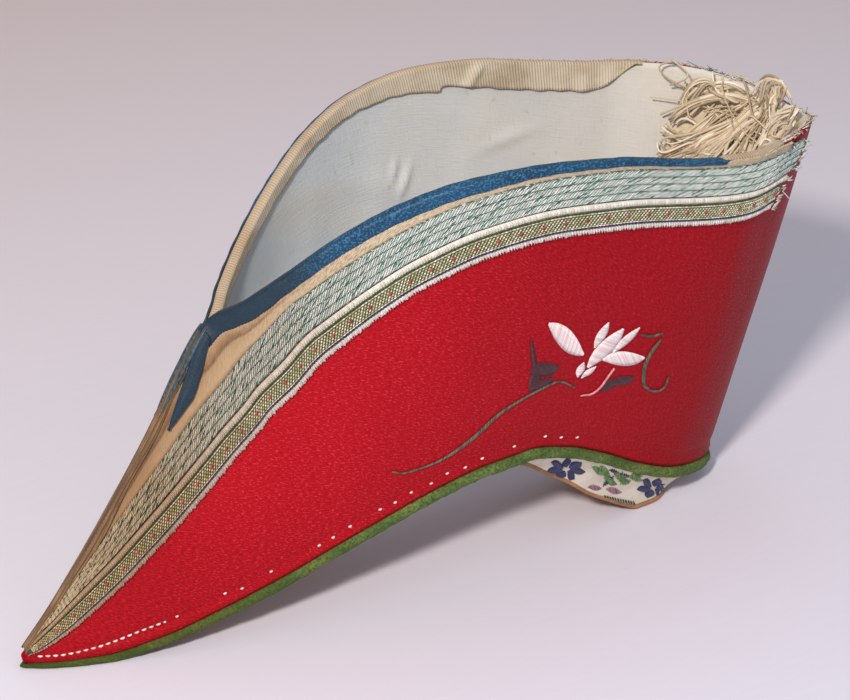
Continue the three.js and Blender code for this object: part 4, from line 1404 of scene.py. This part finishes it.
class SHOE_OT_embroidery(Operator):
    """Makes the flower spray on each side, in satin stitch and stem stitch"""

    bl_idname = "object.shoe_embroidery"
    bl_label = "Embroidery"

    def execute(self, context):
        # the part of the face to look in: shares along the shoe and up it
        area = (place, (0.42, 0.93), (0.05, 0.75))
        silk = millimetres("petal")
        pink = thread_finish("pink_white_silk", "#f8ecea", "#dcc3c4")
        shaded = thread_finish("maroon_silk", "#4e1a24", "#33121a")
        green = thread_finish("grey_green_silk", "#6a6a54", "#38342a")
        rose = thread_finish("rose_silk", "#e8a3a8", "#c66a74")
        slot = "silk_satin"
        sewn("petals", petal_stitches(PETALS), silk * 1.1, 0.14, pink, slot, *area, 0.16, 21)
        sewn("shaded_leaves", petal_stitches(SHADED_LEAVES), silk * 1.3, 0.05, shaded, slot, *area, 0.06, 22)
        sewn("stem", line_stitches(STEM), silk, 0.14, green, slot, *area, 0.12, 23)
        sewn("hook", line_stitches(HOOK), silk, 0.14, green, slot, *area, 0.12, 24)
        sewn("hook_dash", line_stitches(HOOK_DASH), silk, 0.12, green, slot, *area, 0.10, 25)
        sewn("pink_stem", line_stitches(PINK_STEM), silk * 0.9, 0.12, rose, slot, *area, 0.12, 26)
        return {"FINISHED"}


# The seam above the welt in pixels: a line that close stitches follow, their pitch and length
# along it, and the middle of each stitch of the sparse part with half its reach
CLOSE_SEAM = [(38, 656), (60, 655), (77, 652), (100, 646), (117, 640), (139, 631), (155, 625), (166, 621)]
SPARSE_SEAM = [(177, 616), (225, 593), (242, 588), (271, 571), (319, 545), (333, 537), (350, 526), (380, 509),
               (395, 502), (411, 492), (431, 483), (447, 473), (465, 467), (482, 458), (514, 446), (545, 436),
               (561, 437), (577, 437)]
CLOSE_PITCH, CLOSE_LENGTH = 7.7, 4.8
SPARSE_REACH = (1.5, -0.7)
# The hem of the heel cloth in pixels, and how far a stitch leans and reaches over it
HEM = [(604, 497), (633, 503)]
HEM_STITCHES, HEM_LEAN, HEM_REACH = 12, 1.2, 1.8


class SHOE_OT_seam(Operator):
    """Makes the white stitches above the welt and the dark ones along the heel cloth's hem"""

    bl_idname = "object.shoe_seam"
    bl_label = "Seam stitches"

    def execute(self, context):
        white = thread_finish("white_cotton_thread", "#f4e6de", "#dcb9ae")
        area = (place, (0.0, 0.93), (0.0, 0.5))
        thick = millimetres("stitch")
        path = np.array(CLOSE_SEAM, float)
        run = np.concatenate([[0], np.cumsum(np.hypot(*np.diff(path, axis=0).T))])
        steps = np.arange(0, run[-1], CLOSE_PITCH)
        close = [np.stack([np.interp(far, run, path[:, 0]), np.interp(far, run, path[:, 1])], -1)
                 for far in (steps, steps + CLOSE_LENGTH)]
        sewn("close_seam", close, thick, 0.22, white, "silk_satin", *area, 0.06, 31)
        middle, reach = np.array(SPARSE_SEAM, float), np.array(SPARSE_REACH)
        sparse = (middle - reach, middle + reach)
        sewn("sparse_seam", sparse, thick, 0.2, white, "silk_satin", *area, 0.05, 32)
        dark = thread_finish("black_cotton_thread", "#3a3230", "#14100f")
        x, y = np.linspace(*HEM, HEM_STITCHES).T
        hem = (np.stack([x, y - HEM_REACH], -1), np.stack([x + HEM_LEAN, y + HEM_REACH], -1))
        sewn("heel_hem", hem, 0.3, 0.12, dark, "heel_brocade", on_heel, (0.64, 0.99), (0.02, 1.0), 0.12, 33)
        return {"FINISHED"}


def on_heel(turn, down, lift=0.0):
    """The heel cloth's surface, moved out by a lift."""
    point = heel_side(turn, down)
    return point + out_from(point + [0, 1e-6, 0]) * lift


# The heel cloth's pattern in pixels. A flower is its middle, half its breadth and height, its
# number of petals, its turn in radians and half a petal's width; the rest are leaf shapes.
FLOWERS = [(566, 469, 19, 10.5, 7, 0.25, 4.4), (653, 488, 16, 10, 6, 0.9, 4.2)]
PETAL_BASE, PETAL_STITCHES = 0.22, 14
HEEL_LEAVES = table(LEAF_COLUMNS, [
    [592, 467, 604, 474, 3.4, 9], [600, 466, 610, 478, 3.6, 10], [604, 478, 616, 484, 3.6, 9],
    [614, 474, 628, 482, 3.8, 10], [628, 476, 642, 480, 3.0, 9], [632, 474, 642, 476, 2.4, 7],
    [620, 484, 630, 480, 2.8, 7],
])
HEEL_SPECKS = table(LEAF_COLUMNS, [
    [609, 470, 618, 472, 2.0, 6], [613, 476, 603, 486, 2.6, 8], [622, 474, 630, 477, 1.8, 5],
    [632, 478, 637, 479, 1.3, 4], [597, 469, 603, 471, 1.6, 4], [617, 478, 622, 472, 1.6, 5],
])
HEEL_PETALS = table(LEAF_COLUMNS, [[588, 487, 601, 488, 2.8, 9], [606, 489, 621, 492, 3.2, 10]])


def petals_round(middle_x, middle_y, breadth, height, count, turn, half):
    """Leaf shapes round a middle, on an ellipse: a base near it and a tip at its rim."""
    angle = turn + np.arange(count) * 2 * np.pi / count
    right, down = np.cos(angle) * breadth, np.sin(angle) * height
    wide = half * (0.75 + 0.25 * np.abs(np.sin(angle)))
    return np.stack([
        middle_x + PETAL_BASE * right, middle_y + PETAL_BASE * down,
        middle_x + right, middle_y + down, wide, np.full(count, PETAL_STITCHES),
    ], -1)


class SHOE_OT_heel_flowers(Operator):
    """Makes the blue flowers, leaves and mauve petals on the heel cloth"""

    bl_idname = "object.shoe_heel_flowers"
    bl_label = "Heel flowers"

    def execute(self, context):
        area = (on_heel, (0.58, 0.99), (0.0, 1.0))
        flowers = table(LEAF_COLUMNS, np.concatenate([petals_round(*flower) for flower in FLOWERS]))
        for name, shapes, light, deep, seed in (
            ("heel_flowers_blue", flowers, "#223068", "#0e1538", 41),
            ("heel_leaves_green", HEEL_LEAVES, "#6f9a52", "#3c6230", 42),
            ("heel_specks_dark", HEEL_SPECKS, "#222a52", "#0c1024", 43),
            ("heel_petals_mauve", HEEL_PETALS, "#a5788c", "#7c5266", 44),
        ):
            finish = thread_finish(name, light, deep)
            sewn(name, petal_stitches(shapes), 0.30, 0.08, finish, "heel_brocade", *area, 0.08, seed)
        return {"FINISHED"}


# Where each lock of the tuft starts and ends, as a turn round the shoe and a drop below the
# edge, its bend down the wall and how far it arches into the shoe, in millimetres
LOCKS = table("turn drop last_turn last_drop bend arch", [
    [1.022, 1.5, 1.088, 15.5, 2.0, 2.2], [1.024, 2.0, 1.078, 9.0, -2.0, 2.6],
    [1.020, 2.0, 1.080, 17.0, 2.5, 2.6], [1.028, 1.0, 1.066, 4.5, -1.5, 2.4],
    [1.018, 3.0, 1.062, 16.5, 1.0, 2.8], [1.014, 3.0, 1.045, 17.5, -1.0, 2.8],
    [1.010, 2.0, 1.030, 16.0, 1.5, 2.4], [1.004, 1.0, 1.008, 14.0, 1.0, 2.6],
    [1.034, 2.0, 1.052, 0.5, 2.0, 2.8], [1.046, 5.0, 1.084, 11.0, 3.5, 2.6],
    [1.050, 4.0, 1.072, 6.5, -4.0, 3.0], [1.040, 8.0, 1.070, 13.0, 3.0, 2.8],
    [1.008, -1.5, 0.996, 6.0, -2.0, 2.8], [1.000, -2.2, 1.016, 1.0, -3.0, 3.0],
    [0.994, -1.8, 1.010, 0.5, -3.0, 2.6], [0.985, -0.5, 0.999, 9.0, -1.0, 2.6],
    [0.975, -1.0, 0.950, 9.0, 2.0, 2.4], [0.960, 0.5, 0.930, 14.0, 1.5, 2.4],
    [0.945, 1.0, 0.905, 10.0, -2.0, 2.2], [0.925, 2.5, 0.890, 15.0, 1.0, 2.2],
    [0.910, 2.0, 0.885, 8.0, -2.5, 2.2], [1.055, 11.0, 1.086, 17.5, 2.0, 2.2],
    [1.000, 2.0, 0.985, 17.0, 1.0, 2.6], [1.040, 9.0, 1.060, 18.0, -1.5, 2.6],
])


class SHOE_OT_tuft(Operator):
    """Makes the tuft of raw fibre inside the back of the collar"""

    bl_idname = "object.shoe_tuft"
    bl_label = "Fibre tuft"
    # how many single strands lie loose over the locks
    LOOSE = 46

    def execute(self, context):
        """The strands of a lock run together from its start to its end, bent by a sine, each
        winding round the lock as a helix does; loose ones wander by sines between them."""
        rng = np.random.default_rng(77)
        finish = fibre_finish()
        self.pad(finish)
        paths, radii = [], []
        t = np.linspace(0, 1, 16)
        half = millimetres("fibre") / 2
        for first_turn, first_drop, last_turn, last_drop, bend, arch in zip(*LOCKS.values()):
            # a lock that lies low has fewer strands
            many = context.scene.shoe_sizes.fibres - (3 if arch < 2.5 else 0)
            phase = rng.random(many) * 2 * np.pi
            loose = 0.15 + 0.75 * rng.random(many)[:, None]
            twist = phase[:, None] + 2 * np.pi * (0.6 + 0.5 * rng.random(many)[:, None]) * t
            turn = first_turn + (last_turn - first_turn) * t + 0.006 * loose * np.cos(twist)
            turn = turn + 0.004 * rng.normal(size=(many, 1)) * t
            drop = first_drop + (last_drop - first_drop) * t + bend * np.sin(np.pi * t)
            drop = drop + 0.62 * loose * np.sin(twist)
            drop = drop + 0.5 * rng.normal(size=(many, 1)) * t
            depth = WALL + 0.5 + arch * (0.35 + 0.65 * np.sin(np.pi * np.clip(t * 0.9 + 0.05, 0, 1)))
            depth = depth + 0.38 * loose * np.cos(twist + 1)
            paths.append(round_back(turn, below(from_toe(turn), drop), -depth))
            swell = 0.7 + 0.8 * rng.random((many, 1)) * np.sin(np.pi * (0.1 + 0.8 * t))
            radii.append(half * swell)
        self.strands("fibre_locks", paths, radii, finish, rng)
        paths, radii = [], []
        for _ in range(self.LOOSE):
            first_turn, first_drop = rng.uniform(0.89, 1.08), rng.uniform(0.5, 15.5)
            turn = first_turn + rng.normal() * 0.022 * t
            turn = turn + 0.012 * rng.normal() * np.sin(np.pi * t * 1.5 + rng.random() * 3)
            drop = first_drop + rng.normal() * 4.5 * (t - 0.5)
            drop = drop + 1.3 * rng.normal() * np.sin(np.pi * t * 2 + rng.random() * 3)
            drop = np.clip(drop, -1.5, 18)
            depth = WALL + 1.0 + rng.uniform(0.4, 2.6) * np.sin(np.pi * t) + 0.6
            paths.append(round_back(turn, below(from_toe(turn), drop), -depth)[None])
            radii.append(np.full((1, len(t)), half * rng.uniform(0.5, 1.1)))
        self.strands("loose_fibres", paths, radii, finish, rng)
        return {"FINISHED"}

    def strands(self, name, paths, radii, finish, rng):
        """One piece of tubes along the paths, each strand with its own tone."""
        paths = np.concatenate(paths)
        up = unit(np.array([0.25, 0.1, 1.0]))
        points, quads, caps = tubes(paths, np.concatenate(radii), up, 5)
        shade = np.repeat(rng.random(len(paths)), points.shape[1])
        piece(name, points, [quads, caps], finish, ["fibre_tuft"], shade=shade, merge=False)

    def pad(self, finish):
        """The pad under the strands: a sheet over the wall inside, lifted by crossing waves
        that fall away at its edges."""
        drop = np.linspace(0.8, 17.0, 34)[None]
        reach = 1.055 + 0.033 * drop / 17
        turn = 0.885 + (reach - 0.885) * np.linspace(0, 1, 90)[:, None]
        edge = smooth(turn, 0.885, 0.92) * (1 - smooth(turn, reach - 0.03, reach))
        edge = edge * smooth(drop, 0.5, 4) * (1 - smooth(drop, 13, 17))
        lumps = 0.6 + 0.35 * np.sin(61 * turn + 0.9 * drop) + 0.3 * np.sin(113 * turn - 1.3 * drop)
        depth = WALL + 0.1 + edge * (0.8 + 0.9 * lumps)
        points = round_back(turn, below(from_toe(turn), drop), -depth)
        shade = 0.4 + 0.3 * np.random.default_rng(8).random(points.shape[:2])
        pad = piece("fibre_pad", points, [grid_quads(*points.shape[:2])], finish,
                    ["fibre_tuft"], shade=shade, merge=False)
        thicken(pad, 0.2)


class SHOE_OT_stage(Operator):
    """Makes the pale floor, the soft lights and the camera"""

    bl_idname = "object.shoe_stage"
    bl_label = "Stage"

    def execute(self, context):
        right, up, back, eye = camera_axes()
        eye = (eye - [SHIFT, 0, 0]) * TO_METRES
        data = bpy.data.cameras.new("camera")
        data.lens = VIEW_PIXELS / PHOTO_SIZE[0] * data.sensor_width
        camera = bpy.data.objects.new("camera", data)
        turn = Matrix([list(row) for row in np.stack([right, up, back], 1)]).to_4x4()
        camera.matrix_world = Matrix.Translation(eye.tolist()) @ turn
        bpy.context.scene.collection.objects.link(camera)
        bpy.context.scene.camera = camera
        bpy.context.scene.view_settings.view_transform = "Standard"
        self.floor()
        key = eye + TO_METRES * (-140 * right + 130 * up + 260 * back)
        fill = eye + TO_METRES * (330 * right + 240 * up)
        self.light("key", key, 0.06, 3.9, "#fff6ee")
        self.light("fill", fill, 0.5, 0.36, "#dde7ff")
        self.light("top", np.array([-0.1, -0.1, 0.62]), 0.6, 0.70, "#ffffff")
        world = bpy.data.worlds.new("studio")
        world.use_nodes = True
        background = world.node_tree.nodes["Background"]
        background.inputs["Color"].default_value = linear("#e2e4ee")
        background.inputs["Strength"].default_value = 0.40
        bpy.context.scene.world = world
        return {"FINISHED"}

    def light(self, name, where, size, power, colour):
        """A square lamp at a place, turned toward the shoe's middle."""
        data = bpy.data.lights.new(name, "AREA")
        data.size = size
        data.energy = power
        data.color = linear(colour)[:3]
        lamp = bpy.data.objects.new(name, data)
        toward = unit(np.array([0.0, 0.0, 0.035]) - where)
        side = unit(np.cross(toward, [0.0, 0.0, 1.0]))
        basis = np.stack([side, np.cross(side, toward), -toward], 1)
        lamp.matrix_world = Matrix.Translation(where.tolist()) @ Matrix([list(r) for r in basis]).to_4x4()
        bpy.context.scene.collection.objects.link(lamp)

    def floor(self):
        """Matt pale cloth on a table: almost even, with a faint slow change of tone."""
        made = Finish("pale_table_cloth", 0.9)
        y = made.add("SeparateXYZ", made.place).outputs["Y"]
        far = made.add("MapRange", y, 0.12, -0.35, 0.0, 1.0)
        tone = made.add("Mix", far, colours().floor, "#e2cfca", data_type="RGBA")
        ribs = made.grains(made.place, (0.012, 0.0009, 0.01), 0.0, 1.0)
        share = made.add("Math", ribs, 0.10, operation="MULTIPLY")
        made.done(made.add("Mix", share, tone, "#b9bcc8", data_type="RGBA"))
        mesh = bpy.data.meshes.new("floor")
        corners = [(-2, -2, 0), (2, -2, 0), (2, 2, 0), (-2, 2, 0)]
        mesh.from_pydata(corners, [], [(0, 1, 2, 3)])
        mesh.materials.append(made.material)
        floor = bpy.data.objects.new("floor", mesh)
        bpy.context.scene.collection.objects.link(floor)


PIECES = (SHOE_OT_stage, SHOE_OT_upper, SHOE_OT_sole, SHOE_OT_welt, SHOE_OT_ribbons, SHOE_OT_binding,
          SHOE_OT_embroidery, SHOE_OT_seam, SHOE_OT_heel_flowers, SHOE_OT_tuft)


class SHOE_PT_panel(Panel):
    """Lists the shoe's pieces and its sizes and colours"""

    bl_idname = "SHOE_PT_panel"
    bl_label = "Lotus shoe"
    bl_space_type = "VIEW_3D"
    bl_region_type = "UI"
    bl_category = "Shoe"

    def draw(self, context):
        for settings in (context.scene.shoe_colours, context.scene.shoe_sizes):
            for name in settings.__annotations__:
                self.layout.prop(settings, name)
        for operator in PIECES:
            self.layout.operator(operator.bl_idname)


CLASSES = (ShoeColours, ShoeSizes, *PIECES, SHOE_PT_panel)


def register():
    for cls in CLASSES:
        bpy.utils.register_class(cls)
    bpy.types.Scene.shoe_colours = PointerProperty(type=ShoeColours)
    bpy.types.Scene.shoe_sizes = PointerProperty(type=ShoeSizes)


def unregister():
    del bpy.types.Scene.shoe_sizes
    del bpy.types.Scene.shoe_colours
    for cls in reversed(CLASSES):
        bpy.utils.unregister_class(cls)


def main():
    """Makes every piece."""
    register()
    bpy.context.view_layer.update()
    for operator in PIECES:
        group, name = operator.bl_idname.split(".")
        getattr(getattr(bpy.ops, group), name)()


if __name__ == "__main__":
    main()
